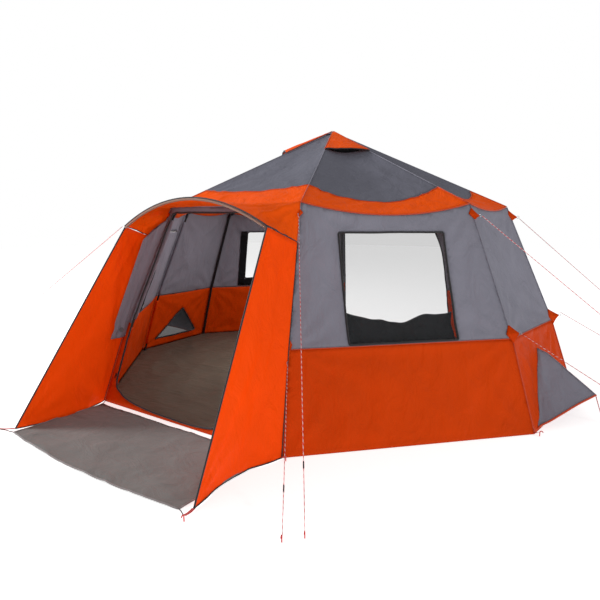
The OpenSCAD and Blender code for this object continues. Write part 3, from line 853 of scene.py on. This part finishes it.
def makeBindings():
    black = []
    for i in range(8):
        p = plans[i]
        ring = dotted(wallHoles(i)[0], 0.03)
        wide = 0.0062 if i in (0, 6, 3, 7) else 0.005
        black.append(([onFacet(p, x, s, 0.0015) for x, s in ring], wide, 8, True))
        if i != 7:  # inside of each cutout
            black.append(([onFacet(p, x, s, -0.006) for x, s in ring], 0.005, 6, True))
    onTent(makeTubes("cutoutBinding", black, finish["binding"]))
    seams, orange = [], []
    for i in range(8):
        p = plans[i]
        whole = dotted([(-p["w1"] / 2, p["h1"]), (p["w1"] / 2, p["h1"])], 0.04, closed=False)
        leftEnd, rightStart = doorGaps.get(i, (p["w1"], p["w1"]))
        for run in ([q for q in whole if q[0] < leftEnd], [q for q in whole if q[0] > rightStart]):
            if len(run) > 1:
                seams.append(([onFacet(p, x, s, 0.0012) for x, s in run], 0.0028, 6, False))
        edge = [roofPoint(i, u / 30, bandTop(i, u / 30), 0.0012) for u in range(31)]
        orange.append((edge, 0.0026, 6, False))
        if i != 7:  # the awning grows out of the roof at the front
            orange.append(([eaveCurve(i, u / 30) + p["outUp"] * 0.0015 for u in range(31)], 0.004, 6, False))
    onTent(makeTubes("seamFells", seams + orange, finish["orangeBinding"]))
    low, high = [], []
    for i in range(8):
        out = cornerAt(i, 1, 0)
        lowHeights = [0.006] + [k / 10 for k in range(1, 7)]
        highHeights = [k / 10 for k in range(6, 15)] + [1.49]
        low.append(([cornerLine(i, z) + out * 0.0015 for z in lowHeights], 0.0045, 8, False))
        high.append(([cornerLine(i, z) + out * 0.0015 for z in highHeights], 0.0045, 8, False))
        v0, above = shell["bandSide"], Vector((0, 0, 0.001))
        bandRun = [eavePt(i).lerp(peakPt, v0 * k / 4) + above for k in range(5)]
        crownRun = [eavePt(i).lerp(peakPt, mix(v0, 0.985, k / 14)) + above for k in range(15)]
        low.append((bandRun, 0.0042, 8, False))
        high.append((crownRun, 0.0042, 8, False))
    onTent(makeTubes("cornerSeamsOrange", low, finish["orangeBinding"]))
    onTent(makeTubes("cornerSeamsGrey", high, finish["grey"]))
    inner = []
    for i in (2, 3, 4, 5):  # black tapes inside the rear corners, over the legs
        out = cornerAt(i, 1, 0)
        heights = (0.03, 0.15, 0.3, 0.45, 0.585, 0.62, 0.8, 1.0, 1.2, 1.35, 1.47)
        inner.append(([cornerLine(i, z) - out * 0.010 for z in heights], 0.0065, 6, False))
    onTent(makeTubes("innerCornerTapes", inner, finish["binding"]))


sleeve = {"elbow": (1.498, 1.474), "knee": (1.880, 0.590), "foot": (2.068, 0.002), "side": 0.011,
          "radius": 0.0165}


def legAt(i, t, part):  # a point on a leg's own line, in the upper or the lower part
    a, b = (sleeve["elbow"], sleeve["knee"]) if part == "upper" else (sleeve["knee"], sleeve["foot"])
    q = cornerAt(i, mix(a[0], b[0], t), mix(a[1], b[1], t))
    out = cornerAt(i, 1, 0)
    return q + Vector((-out.y, out.x, 0)) * sleeve["side"]


def makeSleeves():  # cloth sleeves that hold the legs to the side walls
    upper, lower = [], []
    for i in (0, 1, 6, 7):
        for runs, part, t0, t1 in ((upper, "upper", 0.10, 0.96), (lower, "lower", 0.05, 0.86)):
            pts = [legAt(i, mix(t0, t1, k / 24), part) for k in range(25)]
            size = [sleeve["radius"] * (1 + 0.10 * wave(k * 0.9, i, 3)) for k in range(25)]
            runs.append((pts, size, 12, False))
    onTent(makeTubes("legSleevesUpper", upper, finish["grey"]))
    onTent(makeTubes("legSleevesLower", lower, finish["orange"]))


curtain = {"wide": 0.735, "drop": 0.155, "ends": 0.045, "folds": 0.011}


def makeCurtains():
    cloth, hems = newCloth(), []
    p = plans[0]
    us, vs = [k / 60 for k in range(61)], [k / 14 for k in range(15)]

    def point(u, v):
        x = (u - 0.5) * curtain["wide"]
        t = 2 * u - 1
        top = curtain["drop"] + curtain["ends"] * t * t + 0.014 * sin(9 * u + 0.8) + 0.008 * sin(17 * u + 2)
        s = p["h1"] + 0.008 + top * v
        fold = curtain["folds"] * sin(11 * u * pi + 3 * v + 4 * wave(u * 3, v * 2)) * (0.4 + 0.6 * v)
        fold += 0.014 * wave(u * 7, v * 4, 2.2)
        return onFacet(p, x, s, -0.026 - 0.012 * sin(pi * v) + fold * 0.8)
    addGrid(cloth, [[point(u, v) for u in us] for v in vs], [[(u * 0.8, v * 0.22) for u in us] for v in vs])
    hems.append(([point(u, 1.0) for u in us], 0.0045, 6, False))
    piece, area = makeCloth("windowBlinds", cloth, finish["black"])
    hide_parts("window_curtains")
    onTent(piece)
    onTent(makeTubes("blindHems", hems, finish["binding"]))
    shut = newCloth()
    p = plans[6]
    flat, faces, near = cutCloth([(x, s + p["h1"]) for x,
                                  s in ((-0.364, 0.018), (0.364, 0.018), (0.364, 0.746), (-0.364, 0.746))],
                                 (), shell["gap"])
    addPatch(shut, [onFacet(p, x, s, -0.010 + 0.003 * wave(x * 5, s * 4, 2)) for x, s in flat], faces,
             flat, near)
    piece, area = makeCloth("shutBlind", shut, finish["grey"])
    onTent(piece)
    bands = newCloth()
    for i in (2, 4):  # pocket under each rear window and the zip band beside it
        p = plans[i]
        side = -1 if i == 2 else 1
        for x0, x1, s0, s1 in ((-0.52, 0.52, 0.03, 0.118), (0.478 * side, 0.55 * side, 0.03, 0.74)):
            xs = [mix(min(x0, x1), max(x0, x1), k / 20) for k in range(21)]
            ss = [mix(s0, s1, k / 12) for k in range(13)]
            addGrid(bands, [[onFacet(p, x, s + p["h1"], -0.012 - 0.004 * wave(x * 9, s * 9, i))
                             for x in xs] for s in ss],
                    [[(x, s) for x in xs] for s in ss])
    piece, area = makeCloth("innerPocketBands", bands, finish["black"])
    onTent(piece)


makeScreens()
makeBindings()
makeSleeves()
makeCurtains()
print("stage: windows, bindings and blinds made")


# low vent hoods with their struts and straps
hoods = {"out": 0.240, "tipZ": 0.190, "apex": 0.78, "foot": 0.08}


def makeVentHoods():
    cloth, rims, ribs, straps = newCloth(), [], [], []
    for i in (1, 5):
        a, b = cornerAt(i, shell["baseR"], 0), cornerAt(i + 1, shell["baseR"], 0)
        mid = (a + b) / 2
        n = Vector((mid.x, mid.y, 0)).normalized()
        top = mid.lerp((seamPt(i) + seamPt(i + 1)) / 2, hoods["apex"]) + n * 0.010
        tip = mid + n * hoods["out"] + Vector((0, 0, hoods["tipZ"]))
        feet = [a.lerp(b, hoods["foot"]) + n * 0.010 + Vector((0, 0, 0.022)),
                a.lerp(b, 1 - hoods["foot"]) + n * 0.010 + Vector((0, 0, 0.022))]

        def point(v, t):
            rim = feet[0].lerp(tip, 2 * v) if v < 0.5 else tip.lerp(feet[1], 2 * v - 1)
            belly = sin(pi * min(1, 2 * v if v < 0.5 else 2 - 2 * v))
            ease = 0.030 * belly * sin(pi * t)
            droop = 0.018 * belly * t
            q = top.lerp(rim, 0.01 + 0.99 * t) + Vector((0, 0, droop * 0.6 - ease * 0.2))
            q += n * (0.003 * wave(v * 7, t * 5, i) - ease * 0.5)
            sewn = max(exp(-(min(v, 1 - v) / 0.05) ** 2), exp(-(t / 0.06) ** 2))
            rel = q - plans[i]["foot"]
            return q.lerp(onFacet(plans[i], rel.dot(plans[i]["x"]), rel.dot(plans[i]["low"]), 0.001), sewn)
        vs, ts = [k / 36 for k in range(37)], [k / 18 for k in range(19)]
        addGrid(cloth, [[point(v, t) for v in vs] for t in ts],
                [[(v * 1.1, -t * 0.5) for v in vs] for t in ts], flip=True)
        rims.append(([point(v, 1.0) for v in vs], 0.0065, 8, False))
        ribs.append(([point(0.5, t) + n * 0.002 for t in ts], 0.0042, 6, False))
        peg = Vector((2.33 if i == 1 else -2.33, -0.21, 0.030))
        straps.append((tip - Vector((0, 0, 0.004)), peg))
    piece, area = makeCloth("lowVentHoods", cloth, finish["grey"])
    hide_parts("low_vent_hoods")
    onTent(piece)
    onTent(makeTubes("lowHoodPiping", rims, finish["orangeBinding"]))
    onTent(makeTubes("lowHoodRibs", ribs, finish["grey"]))
    return straps


strapRuns = makeVentHoods()
print("stage: vent hoods made")


# porch: awning, arch, wings and mat
porch = {
    "archHalf": 0.66, "archY": -1.81, "archEnd": 1.330, "archCrown": 1.515,
    "joinZ": 1.235, "footX": 0.85, "footY": -2.61, "bottomBow": 0.075,
}


def archPoint(t, grow=0.0):  # t runs from -1 to 1
    return Vector((t * (porch["archHalf"] + grow), porch["archY"],
                   porch["archCrown"] + grow - (porch["archCrown"] - porch["archEnd"]) * t * t))


def awningRear(u):
    lift = Vector((0, -0.004, 0.003))
    if u < 0.16:
        return cornerLine(7, mix(porch["joinZ"], shell["eave"], u / 0.16)) + lift
    if u > 0.84:
        return cornerLine(0, mix(porch["joinZ"], shell["eave"], (1 - u) / 0.16)) + lift
    return eaveCurve(7, (u - 0.16) / 0.68) + lift


def awningPoint(u, v):
    a = awningRear(u)
    t = 2 * u - 1
    b = archPoint(t, 0.012)
    q = a.lerp(b, v)
    fold = 0.0
    for cu in (0.16, 0.84):  # creases that fan out from the tent's front corners
        d = (u - cu) * 6.5
        ridge = (1 - abs(sin(24 * (u - cu) / (0.10 + 0.9 * v) + 1.5 + wave(u * 5, v * 3, 2)))) ** 1.4
        fold += exp(-(d * d)) * ridge * 0.019 * sin(pi * min(1, v * 0.9 + 0.05))
    dip = -0.020 * sin(pi * v) * sin(pi * u)
    ripple = (0.004 * wave(u * 8, v * 4, 1.1) + 0.007 * crumple(u * 2.4, v * 0.9, 6.4)) * sin(pi * v)
    return q + Vector((t * fold * 0.8, -fold * 0.3, dip + fold * 0.8 + ripple))


def makeAwning():
    cloth = newCloth()
    us, vs = [k / 110 for k in range(111)], [k / 20 for k in range(21)]
    addGrid(cloth, [[awningPoint(u, v) for u in us] for v in vs],
            [[(u * 1.6, -v * 0.42) for u in us] for v in vs], flip=True)
    piece, area = makeCloth("awningCloth", cloth, finish["paintedLitTopOrange"])
    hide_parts("porch_awning")
    onTent(piece)
    arch = [archPoint(-1 + k / 20) for k in range(41)]
    sleeve = makeTubes("archSleeve", [(arch, 0.0080, 12, False)], finish["archBinding"])
    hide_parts("porch_arch_pole")
    onTent(sleeve)
    front = [archPoint(-1 + k / 20, 0.012) + Vector((0, -0.001, 0)) for k in range(41)]
    lip = makeTubes("archLip", [(front, 0.004, 8, False)], finish["binding"])
    onTent(lip)
    sides = []
    for t in (-1, 1):
        u = 0 if t < 0 else 1
        sides.append(([awningPoint(u, v / 12) for v in range(13)], 0.0042, 6, False))
    onTent(makeTubes("awningSideSeams", sides, finish["binding"]))


def wingPoint(side, h, v):  # h 0 at the ground, 1 at the top; v 0 at the tent, 1 at the front
    i = 0 if side > 0 else 7
    rear = cornerLine(i, mix(0.006, porch["joinZ"], h)) + Vector((side * 0.004, -0.006, 0))
    top = archPoint(side, 0.006)
    foot = Vector((side * porch["footX"], porch["footY"], 0.006))
    front = foot.lerp(top, h)
    q = rear.lerp(front, v)
    bow = porch["bottomBow"] * sin(pi * v) * (1 - h) ** 1.6
    soft = (0.010 * wave(v * 3 + side, h * 2, 4.4) + 0.008 * crumple(v * 0.9, h * 1.5, 11 + side)
            + 0.005 * sin(18 * v + 5 * wave(v * 2, h * 3, side))) * sin(pi * v) * smooth((1 - h) / 0.08)
    pull = 0.0
    for cv, ch in ((1, 0), (1, 1), (0, 1), (0, 0)):
        r = sqrt(((v - cv) * 0.8) ** 2 + ((h - ch) * 1.3) ** 2)
        ray = sin(12 * np.arctan2((h - ch) * 1.3, (v - cv) * 0.8) + side)
        pull += 0.010 * exp(-r / 0.3) * smooth(r / 0.1) * ray
    pull *= smooth(min(v, 1 - v) / 0.06)
    return q + Vector((side * (soft + pull) - side * bow, 0, 0))


def makeWings():
    for side, name, node in ((-1, "wingClothLeft", "porch_wing_left"),
                             (1, "wingClothRight", "porch_wing_right")):
        cloth = newCloth()
        hs, vs = [k / 46 for k in range(47)], [k / 30 for k in range(31)]
        rows = [[wingPoint(side, h, v) for v in vs] for h in hs]
        addGrid(cloth, rows, [[(v * 0.8, h * 1.45) for v in vs] for h in hs], flip=side > 0)
        piece, area = makeCloth(name, cloth, finish["paintedLitPorchOrange"])
        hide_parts(node)
        onTent(piece)
        edges = [([wingPoint(side, h, 1.0) for h in hs], 0.005, 8, False),
                 ([wingPoint(side, 0.0, v) for v in vs], 0.004, 6, False),
                 ([wingPoint(side, h, 0.0) for h in hs], 0.004, 6, False)]
        front = makeTubes(name.replace("Cloth", "Binding"), edges, finish["binding"])
        onTent(front)


mat = {"half": 0.79, "rear": -1.995, "front": -2.650, "belly": 0.055}


def matPoint(x, t):
    y = mix(mat["rear"], mat["front"] - mat["belly"] * (1 - (x / mat["half"]) ** 2), t)
    ridge = sin(16 * (x * 0.8 + y * 0.6) + 4 * wave(x * 2, y * 2, 3)) * wave(x * 1.5, y * 1.5, 9)
    z = 0.005 + 0.006 * max(0, wave(x * 3.1, y * 4.3, 0.7)) + 0.004 * max(0, ridge)
    z += 0.0025 * wave(x * 12, y * 10, 2) + 0.010 * crumple(x * 0.9, y * 1.6, 2.7)
    return Vector((x, y, max(0.0025, z)))


def makeMat():
    cloth = newCloth()
    xs, ts = [mix(-mat["half"], mat["half"], k / 90) for k in range(91)], [k / 44 for k in range(45)]
    addGrid(cloth, [[matPoint(x, t) for x in xs] for t in ts], [[(x, -t * 0.7) for x in xs] for t in ts],
            flip=True)
    piece, area = makeCloth("porchMatCloth", cloth, finish["mat"])
    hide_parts("porch_mat")
    onTent(piece, folds=False)
    edge = [matPoint(x, 1.0) for x in xs]
    edge += [matPoint(mat["half"], t) for t in reversed(ts)][1:]
    edge += [matPoint(x, 0.0) for x in reversed(xs)][1:]
    edge += [matPoint(-mat["half"], t) for t in ts][1:-1]
    hem = makeTubes("matHem", [([q + Vector((0, 0, 0.0005)) for q in edge], 0.0045, 6, True)],
                    finish["greyBinding"])
    onTent(hem, folds=False)
    ties = []
    for side in (-1, 1):
        a, b = Vector((side * mat["half"], mat["front"], 0.008)), Vector((side * 0.884, -2.702, 0.026))
        ties.append(([a, a.lerp(b, 0.5) + Vector((0, 0, 0.004)), b], 0.0028, 6, False))
        a, b = Vector((side * mat["half"], mat["rear"], 0.008)), Vector((side * 0.835, -1.93, 0.018))
        ties.append(([a, a.lerp(b, 0.5) + Vector((0, 0, 0.003)), b], 0.0028, 6, False))
    onTent(makeTubes("matElastics", ties, finish["binding"]), folds=False)


makeAwning()
makeWings()
makeMat()
print("stage: porch made")


# floor
floorSheet = {"rings": 84, "across": 30, "inset": 0.001}


def makeFloor():
    cloth = newCloth()
    rim, reach = [], shell["baseR"] - floorSheet["inset"]
    for i in range(8):
        a, b = cornerAt(i, reach, 0), cornerAt(i + 1, reach, 0)
        n = floorSheet["across"]
        rim += [a.lerp(b, k / n) for k in range(n)]
    rim.append(rim[0])

    def point(q, t):
        x, y = q.x * t, q.y * t
        ridge = abs(wave(x * 1.9 + 0.4 * y, y * 1.3, 5.1))
        folds = 0.014 * max(0, 0.34 - ridge) / 0.34 * (0.5 + 0.5 * wave(x, y, 8))
        pleat = sin(15 * (x + 0.5 * y) + 4 * wave(x, y, 2)) * wave(x * 0.9, y * 0.9, 4)
        fine = 0.006 * abs(wave(x * 6 + y, y * 5, 1.7)) + 0.006 * max(0, pleat)
        edge = smooth((1 - t) / 0.05)
        fine += 0.013 * crumple(x * 0.7 + 0.3 * y, y * 1.1, 5.9)
        return Vector((x, y, 0.003 + max(0, folds + fine) * edge))
    rows = [[point(q, 0.004 + 0.996 * (1 - k / floorSheet["rings"])) for q in rim]
            for k in range(floorSheet["rings"] + 1)]
    addGrid(cloth, rows, [[(q.x, q.y) for q in r] for r in rows])
    cloth["near"] = [max(0.2, n) if k > len(rim) * 2 else n for k, n in enumerate(cloth["near"])]
    piece, area = makeCloth("floorSheet", cloth, finish["floor"], weld=0.0008)
    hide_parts("groundsheet")
    onTent(piece, folds=False)


makeFloor()
print("stage: floor made")


# the door, folded and tied back outside along its straight edge
doorFold = {"top": 1.400, "foot": 0.500, "wideTop": 0.168, "wideFoot": 0.125, "slope": 0.16, "folds": 2.5,
            "deep": 0.006}


def makeDoorFold():
    cloth = newCloth()
    rows, flat = [], []
    for j in range(61):
        t = j / 60
        wide = mix(doorFold["wideTop"], doorFold["wideFoot"], t) * (1 - 0.10 * exp(-((t - 0.9) / 0.05) ** 2))
        row, plan = [], []
        for k in range(73):  # out along the front layers, then back along the rear ones
            u = k / 72
            back = u > 0.5
            w = 1 - abs(2 * u - 1)
            height = mix(doorFold["top"] - doorFold["slope"] * w, doorFold["foot"], t)
            rear = cornerLine(7, height) + Vector((0.034, -0.014, 0))
            deep = doorFold["deep"] * (0.45 + 0.55 * sin(pi * w))
            fold = sin(2 * pi * doorFold["folds"] * w + 1.2 * t + 2 * wave(w * 2, t * 3, 4)) * deep
            x = (-0.008 if back else 0.012) * sin(pi * w) + fold * (0.35 if back else 0.55)
            row.append(rear + Vector((x, -wide * w, 0.010 * sin(pi * w) * (1 - t))))
            plan.append((u * 0.5, t * 0.9))
        rows.append(row)
        flat.append(plan)
    addGrid(cloth, rows, flat)
    piece, area = makeCloth("foldedDoor", cloth, finish["grey"])
    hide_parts("door_flap")
    onTent(piece)
    # round grey tag with a plain rim, sewn near the foot
    z = 0.565
    mid = cornerLine(7, z) + Vector((0.060, -0.085, 0))
    bpy.ops.mesh.primitive_cylinder_add(vertices=40, radius=0.019, depth=0.003, location=mid,
                                        rotation=(0, radians(90), 0))
    tag = bpy.context.object
    tag.name = "doorTag"
    bpy.ops.object.mode_set(mode="EDIT")
    bpy.ops.mesh.select_all(action="SELECT")
    bpy.ops.mesh.bevel(offset=0.0008, segments=2, affect="EDGES")
    bpy.ops.object.mode_set(mode="OBJECT")
    bpy.ops.object.transform_apply(location=True, rotation=True, scale=True)
    bpy.ops.object.shade_smooth_by_angle(angle=radians(40))
    tag.data.materials.append(finish["cap"])
    onTent(tag)


makeDoorFold()
print("stage: door made")


# corner tabs, rings, pegs and straps
tabs = {"high": (1.470, 1.385, 1.618, 1.412), "low": (0.690, 0.570), "spread": 0.034}


def makeTabs():
    cloth, rings = newCloth(), []
    for i, deg in enumerate(shell["corners"]):
        lowTip = (1.952, 0.530) if abs(deg) == 24 else (1.966, 0.645)
        small = 0.55 if abs(deg) == 24 else 1
        for z0, z1, tipR, tipZ in (tabs["high"], (*tabs["low"], *lowTip)):
            middle = (z0 + z1) / 2
            top, low = cornerLine(i, mix(middle, z0, small)), cornerLine(i, mix(middle, z1, small))
            out = cornerAt(i, 1, 0)
            along = Vector((-out.y, out.x, 0))
            tip = cornerAt(i, tipR, tipZ)
            mid = (top + low) / 2
            spread = tabs["spread"] * small
            left = mid - along * spread - out * (spread * 0.38 - 0.004)
            right = mid + along * spread - out * (spread * 0.38 - 0.004)
            for rim in ((top + out * 0.003, left, low + out * 0.003),
                        (low + out * 0.003, right, top + out * 0.003)):
                edge = [rim[0].lerp(rim[1], k / 5) for k in range(5)]
                edge += [rim[1].lerp(rim[2], k / 5) for k in range(6)]
                rows = [[q.lerp(tip, t) - out * 0.004 * sin(pi * t) for q in edge]
                        for t in (0, 0.2, 0.4, 0.6, 0.8, 0.97)]
                addGrid(cloth, rows, [[(k * 0.01, t * 0.06) for k in range(len(edge))] for t in range(6)],
                        flip=True)
            turns = [2 * pi * k / 20 for k in range(20)]
            ring = [tip + out * (0.004 + 0.009 * cos(a)) + Vector((0, 0, 0.009 * sin(a))) for a in turns]
            rings.append((ring, 0.0016, 6, True))
    piece, area = makeCloth("cornerTabs", cloth, finish["orange"], weld=0.0002)
    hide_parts("guy_tabs")
    onTent(piece)
    onTent(makeTubes("tabRings", rings, finish["ring"]))


pegPlan = {"stem": 0.0032, "hook": 0.011}


def makePegs():
    # one hooked peg, then a copy at each place
    hook = [Vector((0, 0, 0.0)), Vector((0, 0, 0.012)), Vector((0, 0, 0.024))]
    hook += [Vector((pegPlan["hook"] * (1 - cos(a)), 0, 0.026 + pegPlan["hook"] * sin(a)))
             for a in (0.3, 0.7, 1.1, 1.57, 2.0, 2.4, 2.8)]
    master = makeTubes("pegMaster", [(hook, pegPlan["stem"], 10, False)], finish["peg"])
    spots = []
    for i in range(1, 7):
        spots.append(cornerAt(i, 2.148, 0))
    for side in (-1, 1):
        spots.append(Vector((side * 0.900, -1.945, 0)))
        spots.append(Vector((side * 0.884, -2.702, 0)))
        spots.append(Vector((side * 2.33, -0.21, 0)))
    for run in guyLines["runs"]:
        foot = Vector((run[1][0], run[1][1], 0))
        spots.append(foot + foot.normalized() * 0.009)
    pegs = []
    for spot in spots:
        away = Vector((spot.x, spot.y, 0)).normalized()
        turn = Matrix(((away.x, -away.y, 0, spot.x), (away.y, away.x, 0, spot.y), (0, 0, 1, 0), (0, 0, 0, 1)))
        pegs.append(copied(master, turn))
    bpy.data.objects.remove(master)
    piece = joined(pegs, "pegHooks")
    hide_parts("pegs")
    onTent(piece, folds=False)


def strapBetween(a, b, wide=0.018, dip=0.004):
    ahead = (b - a).normalized()
    across = ahead.cross(Vector((0, 0, 1))).normalized() * wide / 2
    rows = []
    for k in range(9):
        t = k / 8
        q = a.lerp(b, t) - Vector((0, 0, dip * sin(pi * t)))
        rows.append([q - across, q - across * 0.4, q + across * 0.4, q + across])
    return rows


def makeStraps():
    cloth = newCloth()
    runs = list(strapRuns)
    for side in (-1, 1):
        runs.append((Vector((side * 0.850, -2.610, 0.010)), Vector((side * 0.884, -2.700, 0.030))))
    for i in range(8):
        side = 1 if i == 0 else -1
        foot = cornerAt(i, 2.148, 0.030) if 0 < i < 7 else Vector((side * 0.900, -1.945, 0.030))
        runs.append((cornerAt(i, 2.110, 0.012), foot))
    for a, b in runs:
        rows = strapBetween(a, b)
        addGrid(cloth, rows, [[(j * 0.005, k * 0.02) for j in range(4)] for k in range(9)])
    piece, _ = makeCloth("pegStraps", cloth, finish["red"], thick=0.0016)
    onTent(piece)


def makeRunners():
    # a rounded line tensioner with three holes, one copy for each line
    bpy.ops.mesh.primitive_cube_add(size=1, location=(0, 0, 0), scale=(0.007, 0.018, 0.034))
    blank = bpy.context.object
    bpy.ops.object.transform_apply(location=True, rotation=True, scale=True)
    bpy.ops.object.mode_set(mode="EDIT")
    bpy.ops.mesh.select_all(action="SELECT")
    bpy.ops.mesh.bevel(offset=0.0026, segments=3, affect="EDGES")
    bpy.ops.object.mode_set(mode="OBJECT")
    for z in (-0.010, 0.0, 0.010):
        bpy.ops.mesh.primitive_cylinder_add(vertices=16, radius=0.0024, depth=0.02,
                                            location=(0, 0.0035, z), rotation=(0, radians(90), 0))
        drill = bpy.context.object
        cut = blank.modifiers.new("hole", "BOOLEAN")
        cut.object = drill
        cut.operation = "DIFFERENCE"
        cut.solver = "EXACT"
        applyModifiers(blank)
        bpy.data.objects.remove(drill)
    only(blank)
    bpy.ops.object.shade_smooth_by_angle(angle=radians(35))
    blank.data.materials.append(finish["plastic"])
    for k, run in enumerate(guyLines["runs"], 1):
        length = (Vector(run[0]) - Vector(run[1])).length
        t = 1 - guyLines["runnerAt"][k - 1] / length
        ahead = (guyPoint(run, t - 0.01) - guyPoint(run, t + 0.01)).normalized()
        piece = copied(blank, pointAlong(ahead, guyPoint(run, t)))
        piece.name = f"lineRunner{k}"
        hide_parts(f"runner_{k}")
        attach(piece, f"runner_{k}")
    bpy.data.objects.remove(blank)


makeTabs()
makePegs()
makeStraps()
makeRunners()
print("stage: fittings made")


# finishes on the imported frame's own parts
def dressFrame():
    looks = {"hub": "plastic", "hub_cap": "cap", "hub_pull": "pull", "door_zip_slider": "plastic"}
    for i in range(1, 9):
        looks[f"roof_pole_{i}"] = "pole"
        looks[f"leg_{i}"] = "pole"
    for node, look in looks.items():
        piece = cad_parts[node]
        piece.data.materials.clear()
        piece.data.materials.append(finish[look])


dressFrame()


# floor, light and background
studio = {
    "floor": 60, "white": 1.0, "fill": 0.42, "floorGlow": 0.68,
    "lamps": (("keyLight", (-8.5, -4.5, 6.0), 880, 2.2),
              ("sideLight", (7.5, -1.5, 4.2), 65, 0.8),
              ("insideGlow", (0.0, 0.1, 1.6), 36, 1.0)),
}


def setStudio():
    bpy.ops.mesh.primitive_plane_add(size=studio["floor"], location=(0, 0, -0.002))
    ground = bpy.context.object
    ground.name = "studioFloor"
    m, nodes, links, skin = startFinish("paleFloor")
    place = nodes.new("ShaderNodeTexCoord")
    tone = addNoise(nodes, links, place.outputs["Object"], 3, 2)
    links.new(addBlend(nodes, links, tone, (0.86, 0.86, 0.86), (0.88, 0.88, 0.88)), skin.inputs["Base Color"])
    skin.inputs["Roughness"].default_value = 0.9
    skin.inputs["Specular IOR Level"].default_value = 0.1
    skin.inputs["Emission Color"].default_value = (1, 1, 1, 1)
    skin.inputs["Emission Strength"].default_value = studio["floorGlow"]
    ground.data.materials.append(m)
    world = bpy.data.worlds.new("paleStudio")
    bpy.context.scene.world = world
    world.use_nodes = True
    wn, wl = world.node_tree.nodes, world.node_tree.links
    back = wn["Background"]
    back.inputs["Color"].default_value = (1, 1, 1, 1)
    back.inputs["Strength"].default_value = studio["fill"]
    seen = wn.new("ShaderNodeBackground")
    seen.inputs["Color"].default_value = (1, 1, 1, 1)
    seen.inputs["Strength"].default_value = studio["white"]
    path, pick = wn.new("ShaderNodeLightPath"), wn.new("ShaderNodeMixShader")
    wl.new(path.outputs["Is Camera Ray"], pick.inputs["Fac"])
    wl.new(back.outputs["Background"], pick.inputs[1])
    wl.new(seen.outputs["Background"], pick.inputs[2])
    wl.new(pick.outputs["Shader"], wn["World Output"].inputs["Surface"])
    for name, place, power, size in studio["lamps"]:
        bpy.ops.object.light_add(type="AREA", location=place)
        lamp = bpy.context.object
        lamp.name = name
        lamp.data.energy = power
        lamp.data.size = size
        aim = Vector((0, -0.3, 0.6 if name != "insideGlow" else 0)) - Vector(place)
        lamp.rotation_euler = aim.to_track_quat("-Z", "Y").to_euler()
        lamp.visible_camera = False
    bpy.context.scene.view_settings.view_transform = "Standard"


setStudio()
print("stage: studio set")

bpy.ops.object.select_all(action="DESELECT")
